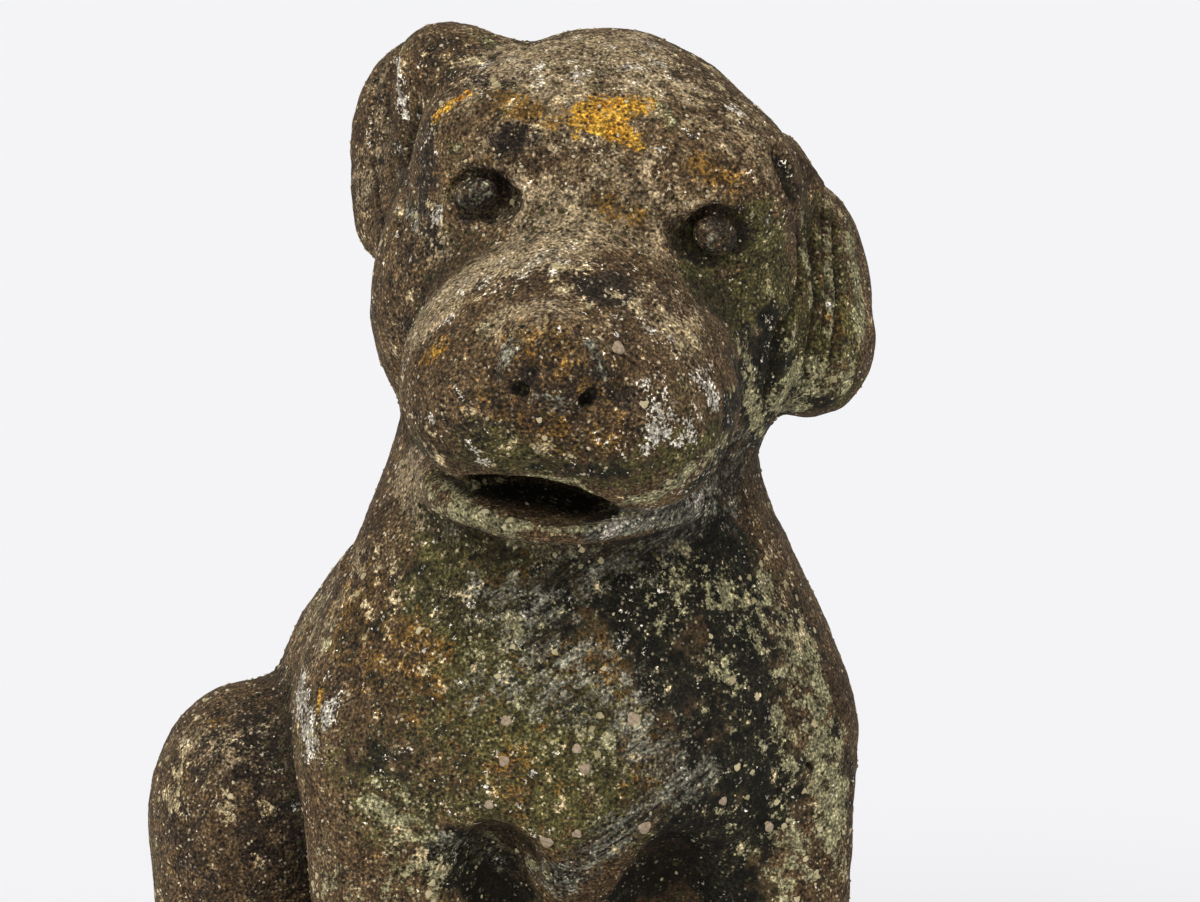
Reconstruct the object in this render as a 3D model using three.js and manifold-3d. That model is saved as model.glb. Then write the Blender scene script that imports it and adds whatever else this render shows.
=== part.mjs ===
// A stone garden ornament: a seated puppy with a cocked head, cast in one with a low plinth.
// Millimetres, +Z up. The origin is on the ground under the middle of the plinth, and the dog
// faces -Y, so that its right side is on -X.
//
// The figure is shaped the way a modeller does it in clay, from rounded lumps that melt into each
// other and hollows that are pressed into them. Every lump is given in hundredths of the dog's
// height, so that the figure keeps its proportions at any size.

import * as THREE from "three";
import Module from "manifold-3d";
import { mergeVertices } from "three/addons/utils/BufferGeometryUtils.js";

const wasm = await Module();
wasm.setup();

// Driving dimensions
const DOG_HEIGHT = 400; // from the top of the plinth to the crown
const PLINTH_THICKNESS = 22;
const PLINTH_MARGIN = 12; // plinth left bare around the figure
const PLINTH_CORNER_RADIUS = 60;
const PLINTH_ARRIS = 4; // the rounded edge above and below
const FIGURE_SINK = 5; // how far the figure runs into the plinth, which makes them one stone
const STONE_COLOUR = 0x6f6655;

// One hundredth of the dog's height, the unit of everything in the clay
const UNIT = DOG_HEIGHT / 100;

// The room that the figure takes on the plinth, seen from above
const FOOTPRINT = { left: -35, right: 27.4, front: -29, back: 42 };

// The head is turned to its right, bowed, and cocked towards its right shoulder
const HEAD_CENTRE = [3.3, -2.1, 84];
const HEAD_TURN = -16;
const HEAD_BOW = 8;
const HEAD_COCK = 10;

// Fineness of the carving: the grid that it is read from, the blocks in which the grid is first
// looked through, and the facets that are kept of it
const GRID_STEP = 0.85;
const BLOCK_SIDE = 3.4;
const FACETS_KEPT = 8600;

// A turn in degrees: first about Y, then about X, then about Z
function turn(x, y, z) {
  const angles = [x, y, z].map(THREE.MathUtils.degToRad);
  const euler = new THREE.Euler(...angles, "ZXY");
  return new THREE.Matrix3().setFromMatrix4(new THREE.Matrix4().makeRotationFromEuler(euler)).elements;
}

// A shape seen from a frame of its own, which has a place and a turn
function placed(shape, centre, axes) {
  const [cx, cy, cz] = centre;
  const [a, b, c, d, e, f, g, h, i] = axes;
  return (px, py, pz) => {
    const x = px - cx;
    const y = py - cy;
    const z = pz - cz;
    return shape(a * x + b * y + c * z, d * x + e * y + f * z, g * x + h * y + i * z);
  };
}

const length = (x, y, z) => Math.sqrt(x * x + y * y + z * z);

// A lump: an ellipsoid with its half-lengths along its own axes
function lump(centre, halves, axes = turn(0, 0, 0)) {
  const [rx, ry, rz] = halves;
  const tiny = 1e-6;
  const atOrigin = (x, y, z) => {
    const near = length(x / rx, y / ry, z / rz);
    const slope = length(x / (rx * rx), y / (ry * ry), z / (rz * rz));
    return (near * (near - 1)) / Math.max(slope, tiny);
  };
  return placed(atOrigin, centre, axes);
}

// A limb: a round bar between two points, with a radius at each
function limb(from, to, radiusFrom, radiusTo) {
  const [ax, ay, az] = from;
  const [bx, by, bz] = [to[0] - ax, to[1] - ay, to[2] - az];
  const squared = bx * bx + by * by + bz * bz;
  return (px, py, pz) => {
    const x = px - ax;
    const y = py - ay;
    const z = pz - az;
    const t = Math.min(Math.max((x * bx + y * by + z * bz) / squared, 0), 1);
    const radius = radiusFrom + (radiusTo - radiusFrom) * t;
    return length(x - bx * t, y - by * t, z - bz * t) - radius;
  };
}

// The lower of two depths, with the crease between them filled over the given width
function melt(a, b, width) {
  const overlap = Math.max(width - Math.abs(a - b), 0) / width;
  return Math.min(a, b) - (overlap * overlap * width) / 4;
}

// Clay remembers what was added and pressed in, and tells how far a point is outside it
class Clay {
  steps = [];

  add(shape, softness) {
    this.steps.push({ shape, softness, sign: 1 });
    return this;
  }

  press(shape, softness) {
    this.steps.push({ shape, softness, sign: -1 });
    return this;
  }

  depth = (x, y, z) => {
    let value = Infinity;
    for (const { shape, softness, sign } of this.steps) {
      value = sign * melt(sign * value, shape(x, y, z), softness);
    }
    return value;
  };
}

const SIDES = [-1, 1];

// Skull, cheeks and the broad brow above the eyes
function shapeSkull(clay) {
  clay.add(lump([-0.5, 0, 0.5], [15.9, 17, 16.8]), 1);
  for (const side of SIDES) {
    clay.add(lump([side * 10.5, -3, -7], [7.4, 9.5, 10]), 6);
    clay.add(lump([side * 8.8, -6, 7.8], [6.4, 6.6, 5.4]), 5);
  }
}

// The big blunt muzzle, with its flews, its bridge and the worn nose
function shapeMuzzle(clay) {
  const middle = 0.5;
  const muzzle = new Clay();
  muzzle.add(lump([middle, -17, -6.6], [12.2, 13.6, 9.6]), 1);
  for (const side of SIDES) {
    muzzle.add(lump([middle + side * 6.2, -18, -9], [7.2, 11.4, 7.8]), 3);
  }
  muzzle.add(lump([middle, -14, -1], [7.4, 10, 5]), 3);
  clay.add(muzzle.depth, 2.6);
  clay.add(lump([-0.3, -27.8, -3.6], [4.4, 2.8, 3.7]), 2);
  for (const side of SIDES) {
    clay.press(lump([0.2 + side * 2.5, -31.2, -5.4], [0.95, 1.9, 0.8]), 0.5);
  }
}

// The jaw under the flews, and the open mouth between them
function shapeMouth(clay) {
  const jawTilt = turn(0, -7, 0);
  clay.add(lump([1, -13.2, -17.9], [11.6, 13.2, 3], jawTilt), 1.2);
  clay.press(lump([-0.2, -24, -15.6], [6.3, 10, 1.9]), 0.5);
}

// Each eye is a ball in an almond-shaped socket
function shapeEyes(clay) {
  for (const side of SIDES) {
    clay.press(lump([side * 9.6, -14.4, 4.9], [3.7, 2.6, 2.35]), 1);
    clay.add(lump([side * 9.6, -12, 4.8], [1.9, 1.9, 1.8]), 0.3);
  }
}

// The right ear folds over a thick root high on the skull and is thrown back
function shapeRightEar() {
  const ear = new Clay();
  const flapTurn = turn(0, 9, 40);
  ear.add(lump([-12.9, 0.5, 11.3], [6.4, 5.6, 4], turn(0, 14, 0)), 1);
  ear.add(limb([-16.4, -0.5, 9.5], [-17.4, 1.5, -3.5], 2.6, 1.6), 2);
  ear.add(lump([-18.8, 5, 5], [2.6, 6.6, 7.6], flapTurn), 1.6);
  ear.add(lump([-18.6, 3.2, -1.2], [2.1, 4.2, 4.8], flapTurn), 2);
  return ear;
}

// The left ear hangs forward, broad and round at its lower end
function shapeLeftEar() {
  const ear = new Clay();
  ear.add(lump([12.3, 1, 6.8], [4.3, 5, 4.3]), 1);
  ear.add(lump([18, 2, -2.2], [3.6, 7, 9.6], turn(0, -17, -34)), 2.5);
  ear.add(lump([18, 0.5, -6.8], [4.6, 6.4, 5.2], turn(0, 0, -52)), 2.5);
  return ear;
}

function shapeHead() {
  const head = new Clay();
  shapeSkull(head);
  shapeMuzzle(head);
  shapeMouth(head);
  shapeEyes(head);
  return head;
}

// Chest, neck, back and rump, with the stone that the caster left under the belly, the hollows
// between the forelegs, and the brisket that comes down to a point between them
function shapeTrunk(clay) {
  clay.add(lump([0.2, -4, 44], [23.4, 17, 20]), 1);
  clay.add(limb([1.5, -1, 74], [0.8, 0, 60], 13.2, 16), 8);
  clay.add(lump([2, 6, 62], [11.5, 12.5, 14]), 8);
  clay.add(limb([3.5, 4, 68], [-5, 21, 30], 10, 16.5), 7);
  clay.add(lump([-4, 12, 38], [20, 20, 21.5]), 6);
  clay.add(lump([-7, 22, 18], [21, 17, 18]), 8);
  clay.add(lump([-1.5, -9, 41], [9.5, 11.5, 10.5]), 3);
  clay.add(lump([-2, 3, 12], [18, 12, 20]), 3);
  for (const [x, z, halfWidth, halfHeight] of [[-8.6, 24, 6.2, 14], [6.4, 22, 6.4, 14.5], [-2, 16, 8, 14]]) {
    clay.press(lump([x, -18, z], [halfWidth, 8, halfHeight]), 2);
  }
  const brisketFrom = [-0.5, -7, 47];
  const brisketPoint = [-2.6, -14.6, 33.6];
  clay.add(limb(brisketFrom, brisketPoint, 12, 2.2), 2);
}

// A paw with four toes; the toes reach forward by the given amount
function shapePaw(clay, x, y, halves, reach, toeHalves) {
  const toes = 4;
  const toeSpacing = halves[0] * 0.47;
  const pawSink = 1.6;
  const toeSink = 1.1;
  clay.add(lump([x, y, halves[2] - pawSink], halves), 2.5);
  for (let i = 0; i < toes; i += 1) {
    const sideways = (i - (toes - 1) / 2) * toeSpacing;
    clay.add(lump([x + sideways, y - reach, toeHalves[2] - toeSink], toeHalves), 0.8);
  }
}

function shapeForelegs(clay) {
  for (const side of SIDES) {
    clay.add(limb([0.3 + side * 16.2, -8, 42], [0.3 + side * 16.3, -13, 6], 7.2, 5.3), 3);
    shapePaw(clay, side * 16.2, -18, [6.2, 7.2, 4.8], 5, [1.7, 3.4, 3.2]);
  }
}

// The hips are swung to the dog's right, so the right haunch stands out beside the foreleg
function shapeHindLegs(clay) {
  const leanBack = turn(-11.5, 0, 0);
  clay.add(lump([-26, 12, 31.5], [8.8, 12.5, 12.4], leanBack), 2.5);
  clay.add(lump([-21, 14, 33], [8.5, 12.5, 10.6], leanBack), 2.5);
  clay.add(lump([13.5, 13, 27], [9, 12.5, 13.5], leanBack), 4);
  clay.add(limb([-27, 9, 24], [-26, 4, 6], 7, 4.6), 3);
  clay.add(limb([16, 8, 22], [18, 5, 6], 7, 4.6), 3);
  for (const [x, y] of [[-26, -3], [19, -1]]) {
    shapePaw(clay, x, y, [5.6, 9, 4.6], 7.6, [1.5, 3.2, 3]);
  }
}

// The tail lies curled on the plinth, round to the dog's left
function shapeTail(clay) {
  const pieces = 7;
  const point = (t) => {
    const angle = THREE.MathUtils.degToRad(100 - 84 * t);
    return [-5 + 27 * Math.cos(angle), 15 + 22 * Math.sin(angle), 3.2 + 6 * (1 - t) ** 4];
  };
  const radius = (t) => 4.8 - 2.4 * t;
  for (let i = 0; i < pieces; i += 1) {
    const from = i / pieces;
    const to = (i + 1) / pieces;
    clay.add(limb(point(from), point(to), radius(from), radius(to)), 2);
  }
}

function shapeDog() {
  const dog = new Clay();
  shapeTrunk(dog);
  shapeForelegs(dog);
  shapeHindLegs(dog);
  shapeTail(dog);
  const pose = turn(HEAD_BOW, HEAD_COCK, HEAD_TURN);
  dog.add(placed(shapeHead().depth, HEAD_CENTRE, pose), 3);
  dog.add(placed(shapeRightEar().depth, HEAD_CENTRE, pose), 2);
  dog.add(placed(shapeLeftEar().depth, HEAD_CENTRE, pose), 1.4);
  const sole = -FIGURE_SINK / UNIT;
  return (x, y, z) => Math.max(dog.depth(x, y, z), sole - z);
}

// Reads the clay on a grid. Blocks that lie well inside or outside get one reading only.
function readGrid(depth, low, high) {
  const steps = Math.round(BLOCK_SIDE / GRID_STEP); // along a block
  const blocks = low.map((value, i) => Math.ceil((high[i] - value) / (GRID_STEP * steps)));
  const size = blocks.map((count) => count * steps + 1);
  const values = new Float32Array(size[0] * size[1] * size[2]);
  const index = (x, y, z) => (z * size[1] + y) * size[0] + x;
  const safe = GRID_STEP * steps * 1.75;
  const middle = steps / 2;
  const at = (x, y, z) => depth(low[0] + x * GRID_STEP, low[1] + y * GRID_STEP, low[2] + z * GRID_STEP);
  const fill = (start, reading) => {
    for (let z = start[2]; z <= start[2] + steps; z += 1) {
      for (let y = start[1]; y <= start[1] + steps; y += 1) {
        for (let x = start[0]; x <= start[0] + steps; x += 1) {
          values[index(x, y, z)] = reading(x, y, z);
        }
      }
    }
  };
  const near = [];
  for (let z = 0; z < size[2] - 1; z += steps) {
    for (let y = 0; y < size[1] - 1; y += steps) {
      for (let x = 0; x < size[0] - 1; x += steps) {
        const reading = at(x + middle, y + middle, z + middle);
        if (Math.abs(reading) < safe) near.push([x, y, z]);
        else fill([x, y, z], () => reading);
      }
    }
  }
  near.forEach((start) => fill(start, at));
  return { size, values, index };
}

// The eight corners of a grid cell, and its twelve edges as pairs of corners
const CORNERS = [0, 1, 2, 3, 4, 5, 6, 7].map((i) => [i & 1, (i >> 1) & 1, (i >> 2) & 1]);
const EDGES = [];
for (let i = 0; i < 8; i += 1) {
  for (const bit of [1, 2, 4]) {
    if (!(i & bit)) EDGES.push([i, i | bit]);
  }
}

// Whether the corners of one kind in a sign pattern hang together along the cell's edges
function hangsTogether(pattern, kind) {
  const members = CORNERS.map((_, i) => i).filter((i) => ((pattern >> i) & 1) === kind);
  const reached = new Set(members.slice(0, 1));
  for (let pass = 0; pass < members.length; pass += 1) {
    for (const [a, b] of EDGES) {
      if (members.includes(a) && members.includes(b) && (reached.has(a) || reached.has(b))) {
        reached.add(a);
        reached.add(b);
      }
    }
  }
  return reached.size === members.length;
}

// Where stone meets stone only across a diagonal, the gap beside it is filled, so that the skin
// never touches itself at a single point or edge
function fillPinches(grid) {
  const { size, values, index } = grid;
  const pinched = Array.from({ length: 256 }, (_, p) => !hangsTogether(p, 0) || !hangsTogether(p, 1));
  const filled = -0.01;
  let changed = true;
  while (changed) {
    changed = false;
    for (let z = 0; z < size[2] - 1; z += 1) {
      for (let y = 0; y < size[1] - 1; y += 1) {
        for (let x = 0; x < size[0] - 1; x += 1) {
          let pattern = 0;
          let thinnest = -1;
          for (let i = 0; i < 8; i += 1) {
            const corner = index(x + CORNERS[i][0], y + CORNERS[i][1], z + CORNERS[i][2]);
            if (values[corner] < 0) pattern |= 1 << i;
            else if (thinnest < 0 || values[corner] < values[thinnest]) thinnest = corner;
          }
          if (!pinched[pattern]) continue;
          values[thinnest] = filled;
          changed = true;
        }
      }
    }
  }
}

// A skin over the grid: a point in each cell that the surface crosses, and a square of four such
// points round each grid edge that it crosses, split into two triangles
function skin(grid, low) {
  const { size, values, index } = grid;
  const points = [];
  const faces = [];
  const pointOf = new Int32Array(values.length).fill(-1);
  for (let z = 0; z < size[2] - 1; z += 1) {
    for (let y = 0; y < size[1] - 1; y += 1) {
      for (let x = 0; x < size[0] - 1; x += 1) {
        const sum = [0, 0, 0];
        let crossings = 0;
        for (const [a, b] of EDGES) {
          const va = values[index(x + CORNERS[a][0], y + CORNERS[a][1], z + CORNERS[a][2])];
          const vb = values[index(x + CORNERS[b][0], y + CORNERS[b][1], z + CORNERS[b][2])];
          if (va < 0 === vb < 0) continue;
          const t = va / (va - vb);
          sum.forEach((_, i) => (sum[i] += CORNERS[a][i] * (1 - t) + CORNERS[b][i] * t));
          crossings += 1;
        }
        if (crossings === 0) continue;
        pointOf[index(x, y, z)] = points.length;
        points.push([x, y, z].map((v, i) => low[i] + (v + sum[i] / crossings) * GRID_STEP));
      }
    }
  }
  for (let z = 1; z < size[2] - 1; z += 1) {
    for (let y = 1; y < size[1] - 1; y += 1) {
      for (let x = 1; x < size[0] - 1; x += 1) {
        const inside = values[index(x, y, z)] < 0;
        for (const axis of [0, 1, 2]) {
          const step = [0, 0, 0];
          step[axis] = 1;
          if (inside === values[index(x + step[0], y + step[1], z + step[2])] < 0) continue;
          const u = [0, 0, 0];
          const v = [0, 0, 0];
          u[(axis + 1) % 3] = 1;
          v[(axis + 2) % 3] = 1;
          const ring = [[1, 1], [0, 1], [0, 0], [1, 0]].map(([i, j]) =>
            pointOf[index(x - i * u[0] - j * v[0], y - i * u[1] - j * v[1], z - i * u[2] - j * v[2])],
          );
          if (!inside) ring.reverse();
          faces.push([ring[0], ring[1], ring[2]], [ring[0], ring[2], ring[3]]);
        }
      }
    }
  }
  return { points, faces };
}

const minus = (a, b) => [a[0] - b[0], a[1] - b[1], a[2] - b[2]];
const dot = (a, b) => a[0] * b[0] + a[1] * b[1] + a[2] * b[2];
const cross = (a, b) => [a[1] * b[2] - a[2] * b[1], a[2] * b[0] - a[0] * b[2], a[0] * b[1] - a[1] * b[0]];
const normalOf = (a, b, c) => cross(minus(b, a), minus(c, a));

// A queue that hands out its cheapest item first
class Queue {
  items = [];

  push(item) {
    const { items } = this;
    let i = items.length;
    items.push(item);
    while (i > 0) {
      const parent = (i - 1) >> 1;
      if (items[parent].cost <= item.cost) break;
      items[i] = items[parent];
      i = parent;
    }
    items[i] = item;
  }

  pop() {
    const { items } = this;
    const first = items[0];
    const last = items.pop();
    const { length } = items;
    if (length === 0) return first;
    let i = 0;
    for (let child = 1; child < length; child = 2 * i + 1) {
      if (child + 1 < length && items[child + 1].cost < items[child].cost) child += 1;
      if (items[child].cost >= last.cost) break;
      items[i] = items[child];
      i = child;
    }
    items[i] = last;
    return first;
  }
}

// The squared distance to a triangle's plane, weighed by its area, as ten coefficients
function planeError(a, b, c) {
  const normal = normalOf(a, b, c);
  const area = length(...normal) || 1;
  const [x, y, z] = normal.map((v) => v / area);
  const w = -dot([x, y, z], a);
  return [x * x, x * y, x * z, x * w, y * y, y * z, y * w, z * z, z * w, w * w].map((v) => v * area);
}

function errorAt(q, [x, y, z]) {
  const squares = q[0] * x * x + q[4] * y * y + q[7] * z * z + q[9];
  return squares + 2 * (q[1] * x * y + q[2] * x * z + q[3] * x + q[5] * y * z + q[6] * y + q[8] * z);
}

// The point with the least error, or the middle of the edge where the surface is nearly flat
function bestPoint(q, a, b) {
  const middle = a.map((v, i) => (v + b[i]) / 2);
  const columns = [[q[0], q[1], q[2]], [q[1], q[4], q[5]], [q[2], q[5], q[7]]];
  const right = [-q[3], -q[6], -q[8]];
  const volume = dot(columns[0], cross(columns[1], columns[2]));
  const flat = 1e-3 * (q[0] + q[4] + q[7]) ** 3;
  if (Math.abs(volume) < flat) return middle;
  const solved = [
    dot(right, cross(columns[1], columns[2])) / volume,
    dot(columns[0], cross(right, columns[2])) / volume,
    dot(columns[0], cross(columns[1], right)) / volume,
  ];
  const reach = length(...minus(a, b));
  return length(...minus(solved, middle)) < reach ? solved : middle;
}

// Draws edges together, the least missed first, until few enough facets are left
function thinOut({ points, faces }, kept) {
  const facesOf = points.map(() => new Set());
  const errors = points.map(() => new Array(10).fill(0));
  const changes = points.map(() => 0);
  const evenness = 2e-3;
  faces.forEach((face, i) => {
    const error = planeError(...face.map((p) => points[p]));
    for (const p of face) {
      facesOf[p].add(i);
      error.forEach((v, k) => (errors[p][k] += v));
    }
  });
  const neighbours = (p) => {
    const found = new Set();
    for (const i of facesOf[p]) faces[i].forEach((other) => found.add(other));
    found.delete(p);
    return found;
  };
  const queue = new Queue();
  const propose = (a, b) => {
    const error = errors[a].map((v, k) => v + errors[b][k]);
    const target = bestPoint(error, points[a], points[b]);
    const gap = minus(points[a], points[b]);
    const cost = errorAt(error, target) + evenness * dot(gap, gap);
    queue.push({ cost, a, b, target, seen: changes[a] + changes[b] });
  };
  const leastCosine = 0.3; // how far a facet may turn when an edge is drawn together
  const turnsOver = (p, other, target) => {
    for (const i of facesOf[p]) {
      const face = faces[i];
      if (face.includes(other)) continue;
      const before = normalOf(...face.map((v) => points[v]));
      const after = normalOf(...face.map((v) => (v === p ? target : points[v])));
      if (dot(before, after) < leastCosine * length(...before) * length(...after)) return true;
    }
    return false;
  };
  faces.forEach((face) => {
    face.forEach((a, k) => {
      const b = face[(k + 1) % 3];
      if (a < b) propose(a, b);
    });
  });
  let left = faces.length;
  while (left > kept && queue.items.length > 0) {
    const { a, b, target, seen } = queue.pop();
    if (changes[a] + changes[b] !== seen || facesOf[a].size === 0 || facesOf[b].size === 0) continue;
    const around = neighbours(a);
    const shared = [...neighbours(b)].filter((p) => around.has(p));
    if (!around.has(b) || shared.length !== 2) continue;
    if (turnsOver(a, b, target) || turnsOver(b, a, target)) continue;
    points[a] = target;
    errors[a] = errors[a].map((v, k) => v + errors[b][k]);
    for (const i of facesOf[b]) {
      if (faces[i].includes(a)) {
        faces[i].forEach((p) => p !== b && facesOf[p].delete(i));
        faces[i] = null;
        left -= 1;
      } else {
        faces[i] = faces[i].map((p) => (p === b ? a : p));
        facesOf[a].add(i);
      }
    }
    facesOf[b].clear();
    changes[a] += 1;
    changes[b] += 1;
    neighbours(a).forEach((p) => propose(a, p));
  }
  return compact(points, faces.filter(Boolean));
}

// Keeps only the points that a face uses
function compact(points, faces) {
  const places = new Map();
  const keptFaces = faces.map((face) =>
    face.map((p) => {
      if (!places.has(p)) places.set(p, places.size);
      return places.get(p);
    }),
  );
  return { points: [...places.keys()].map((p) => points[p]), faces: keptFaces };
}

// Moves each point straight onto the clay's surface, by a small step at most
function settle({ points, faces }, depth) {
  const reach = GRID_STEP * 0.1;
  const longest = GRID_STEP * 0.35;
  const leastSlope = 0.3;
  const moved = points.map(([x, y, z]) => {
    const miss = depth(x, y, z);
    const slope = [
      (depth(x + reach, y, z) - depth(x - reach, y, z)) / (2 * reach),
      (depth(x, y + reach, z) - depth(x, y - reach, z)) / (2 * reach),
      (depth(x, y, z + reach) - depth(x, y, z - reach)) / (2 * reach),
    ];
    const steepness = Math.max(length(...slope), leastSlope);
    const step = Math.max(Math.min(miss / steepness, longest), -longest);
    return [x, y, z].map((v, i) => v - (step * slope[i]) / steepness);
  });
  return { points: moved, faces };
}

function toSolid(positions, triangles) {
  const vertProperties = new Float32Array(positions);
  const triVerts = new Uint32Array(triangles);
  return new wasm.Manifold(new wasm.Mesh({ numProp: 3, vertProperties, triVerts }));
}

function geometryToSolid(geometry) {
  geometry.deleteAttribute("normal");
  geometry.deleteAttribute("uv");
  const merged = mergeVertices(geometry);
  return toSolid(merged.attributes.position.array, merged.index.array);
}

function solidToGeometry(solid) {
  const { vertProperties, triVerts } = solid.getMesh();
  const geometry = new THREE.BufferGeometry();
  geometry.setAttribute("position", new THREE.BufferAttribute(vertProperties, 3));
  geometry.setIndex(new THREE.BufferAttribute(triVerts, 1));
  geometry.computeVertexNormals();
  return geometry;
}

// The figure stands on the plinth, with its footprint in the middle
function figureSolid() {
  const depth = shapeDog();
  const room = 3;
  const headroom = 106;
  const low = [FOOTPRINT.left - room, FOOTPRINT.front - 2 * room, -FIGURE_SINK / UNIT - room];
  const high = [FOOTPRINT.right + room, FOOTPRINT.back + room, headroom];
  const grid = readGrid(depth, low, high);
  fillPinches(grid);
  const { points, faces } = settle(thinOut(skin(grid, low), FACETS_KEPT), depth);
  const centre = [(FOOTPRINT.left + FOOTPRINT.right) / 2, (FOOTPRINT.front + FOOTPRINT.back) / 2];
  const positions = points.flatMap(([x, y, z]) => [
    (x - centre[0]) * UNIT,
    (y - centre[1]) * UNIT,
    z * UNIT + PLINTH_THICKNESS,
  ]);
  return toSolid(positions, faces.flat());
}

// A low slab with round corners and a small rounded arris
function plinthSolid() {
  const width = (FOOTPRINT.right - FOOTPRINT.left) * UNIT + 2 * (PLINTH_MARGIN - PLINTH_ARRIS);
  const length = (FOOTPRINT.back - FOOTPRINT.front) * UNIT + 2 * (PLINTH_MARGIN - PLINTH_ARRIS);
  const radius = PLINTH_CORNER_RADIUS - PLINTH_ARRIS;
  const x = width / 2 - radius;
  const y = length / 2 - radius;
  const quarter = Math.PI / 2;
  const outline = new THREE.Shape();
  outline.absarc(x, y, radius, 0, quarter);
  outline.absarc(-x, y, radius, quarter, 2 * quarter);
  outline.absarc(-x, -y, radius, 2 * quarter, 3 * quarter);
  outline.absarc(x, -y, radius, 3 * quarter, 4 * quarter);
  const slab = new THREE.ExtrudeGeometry(outline, {
    depth: PLINTH_THICKNESS - 2 * PLINTH_ARRIS,
    curveSegments: 8,
    bevelSize: PLINTH_ARRIS,
    bevelThickness: PLINTH_ARRIS,
    bevelSegments: 2,
  });
  slab.translate(0, 0, PLINTH_ARRIS);
  return geometryToSolid(slab);
}

const castStone = new THREE.MeshStandardMaterial({ color: STONE_COLOUR, roughness: 0.92, metalness: 0 });

const seatedDog = new THREE.Mesh(solidToGeometry(plinthSolid().add(figureSolid())), castStone);
seatedDog.name = "seated_dog";

const ornament = new THREE.Group();
ornament.add(seatedDog);

export default ornament;
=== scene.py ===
# %% [markdown]
# # A weathered garden dog of cast stone
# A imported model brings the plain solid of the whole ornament, dog and plinth in one. This lesson
# keeps that solid's form and finishes it as the real stone: finer carving, weathering, growths,
# and a material whose patches lie where decades of rain left them.

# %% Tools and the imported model
import math

import bmesh
import bpy
import numpy as np
from mathutils import Matrix, Vector
from mathutils.bvhtree import BVHTree


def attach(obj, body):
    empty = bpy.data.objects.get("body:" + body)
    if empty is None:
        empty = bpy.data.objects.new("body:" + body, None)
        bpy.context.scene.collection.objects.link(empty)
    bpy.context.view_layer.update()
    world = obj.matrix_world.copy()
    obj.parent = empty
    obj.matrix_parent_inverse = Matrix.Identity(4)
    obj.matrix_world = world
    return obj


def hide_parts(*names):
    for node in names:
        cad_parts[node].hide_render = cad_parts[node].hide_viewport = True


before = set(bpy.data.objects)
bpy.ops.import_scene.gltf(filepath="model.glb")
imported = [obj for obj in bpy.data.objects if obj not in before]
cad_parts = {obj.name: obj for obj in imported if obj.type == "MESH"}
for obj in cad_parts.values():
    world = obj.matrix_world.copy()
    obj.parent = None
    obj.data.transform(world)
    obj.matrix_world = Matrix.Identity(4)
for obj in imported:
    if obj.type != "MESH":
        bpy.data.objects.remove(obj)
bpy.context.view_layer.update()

# %% [markdown]
# The dog was modelled in hundredths of its own height, which is 400 mm. The same unit serves here,
# so that the carving can be repeated finer, and everything ends up in metres.

# %% Sizes
MM = 0.001
UNIT = 4 * MM
PLINTH_THICKNESS = 22 * MM
FOOTPRINT_MIDDLE = (-3.8, 6.5)


def to_metres(points):
    """Places in hundredths of the dog's height, on the plinth's top, become places in metres."""
    middle = np.array([*FOOTPRINT_MIDDLE, 0])
    return (np.asarray(points, float) - middle) * UNIT + [0, 0, PLINTH_THICKNESS]


print("the dog stands", round(100 * UNIT / MM), "mm above its plinth")

# %% [markdown]
# The photograph was taken from a little above and a little to the dog's right, with a long lens.
# A camera 1.2 m away with a 110 mm lens on a 36 mm sensor gives the same outline and the same
# overlaps of muzzle, ears and chest.

# %% Camera
PHOTO_WIDTH, PHOTO_HEIGHT = 1200, 902
AZIMUTH, ELEVATION = math.radians(-10), math.radians(8)
DISTANCE = 1.2
LENS, SENSOR = 110.16, 36.0
AIM = Vector(to_metres([1.2, -12.3, 67.3]))

towards_camera = Vector((
    math.sin(AZIMUTH) * math.cos(ELEVATION),
    -math.cos(AZIMUTH) * math.cos(ELEVATION),
    math.sin(ELEVATION),
))
camera_data = bpy.data.cameras.new("camera")
camera_data.lens = LENS
camera_data.sensor_width = SENSOR
camera_data.clip_end = 100
camera = bpy.data.objects.new("camera", camera_data)
camera.location = AIM + towards_camera * DISTANCE
camera.rotation_euler = (-towards_camera).to_track_quat("-Z", "Y").to_euler()
bpy.context.scene.collection.objects.link(camera)
bpy.context.scene.camera = camera
print("camera at", tuple(round(v, 3) for v in camera.location))

# %% [markdown]
# ## Clay
# A free form like this dog is quickest to describe as a modeller makes it: rounded lumps that melt
# into each other, and hollows pressed into them. Each shape is a function that tells how far a
# point lies outside it, so melting two shapes is a little arithmetic on two numbers.

# %% Lumps, limbs and melting
def turn(x, y, z):
    """A turn in degrees: first about Y, then about X, then about Z."""
    about = [Matrix.Rotation(math.radians(a), 3, axis) for a, axis in ((x, "X"), (y, "Y"), (z, "Z"))]
    return np.array(about[2] @ about[0] @ about[1], np.float32)


def lump(centre, halves, axes=None):
    """An ellipsoid with its half-lengths along its own axes."""
    centre = np.array(centre, np.float32)[:, None]
    halves = np.array(halves, np.float32)[:, None]

    def shape(points):
        local = points - centre
        if axes is not None:
            local = axes.T @ local
        near = np.sqrt(((local / halves) ** 2).sum(0))
        slope = np.sqrt(((local / halves**2) ** 2).sum(0))
        return near * (near - 1) / np.maximum(slope, 1e-6)

    return shape


def limb(start, end, radius_start, radius_end):
    """A round bar between two points, with a radius at each."""
    start = np.array(start, np.float32)[:, None]
    along = np.array(end, np.float32)[:, None] - start

    def shape(points):
        local = points - start
        t = np.clip((local * along).sum(0) / (along**2).sum(), 0, 1)
        radius = radius_start + (radius_end - radius_start) * t
        return np.sqrt(((local - along * t) ** 2).sum(0)) - radius

    return shape


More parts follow.
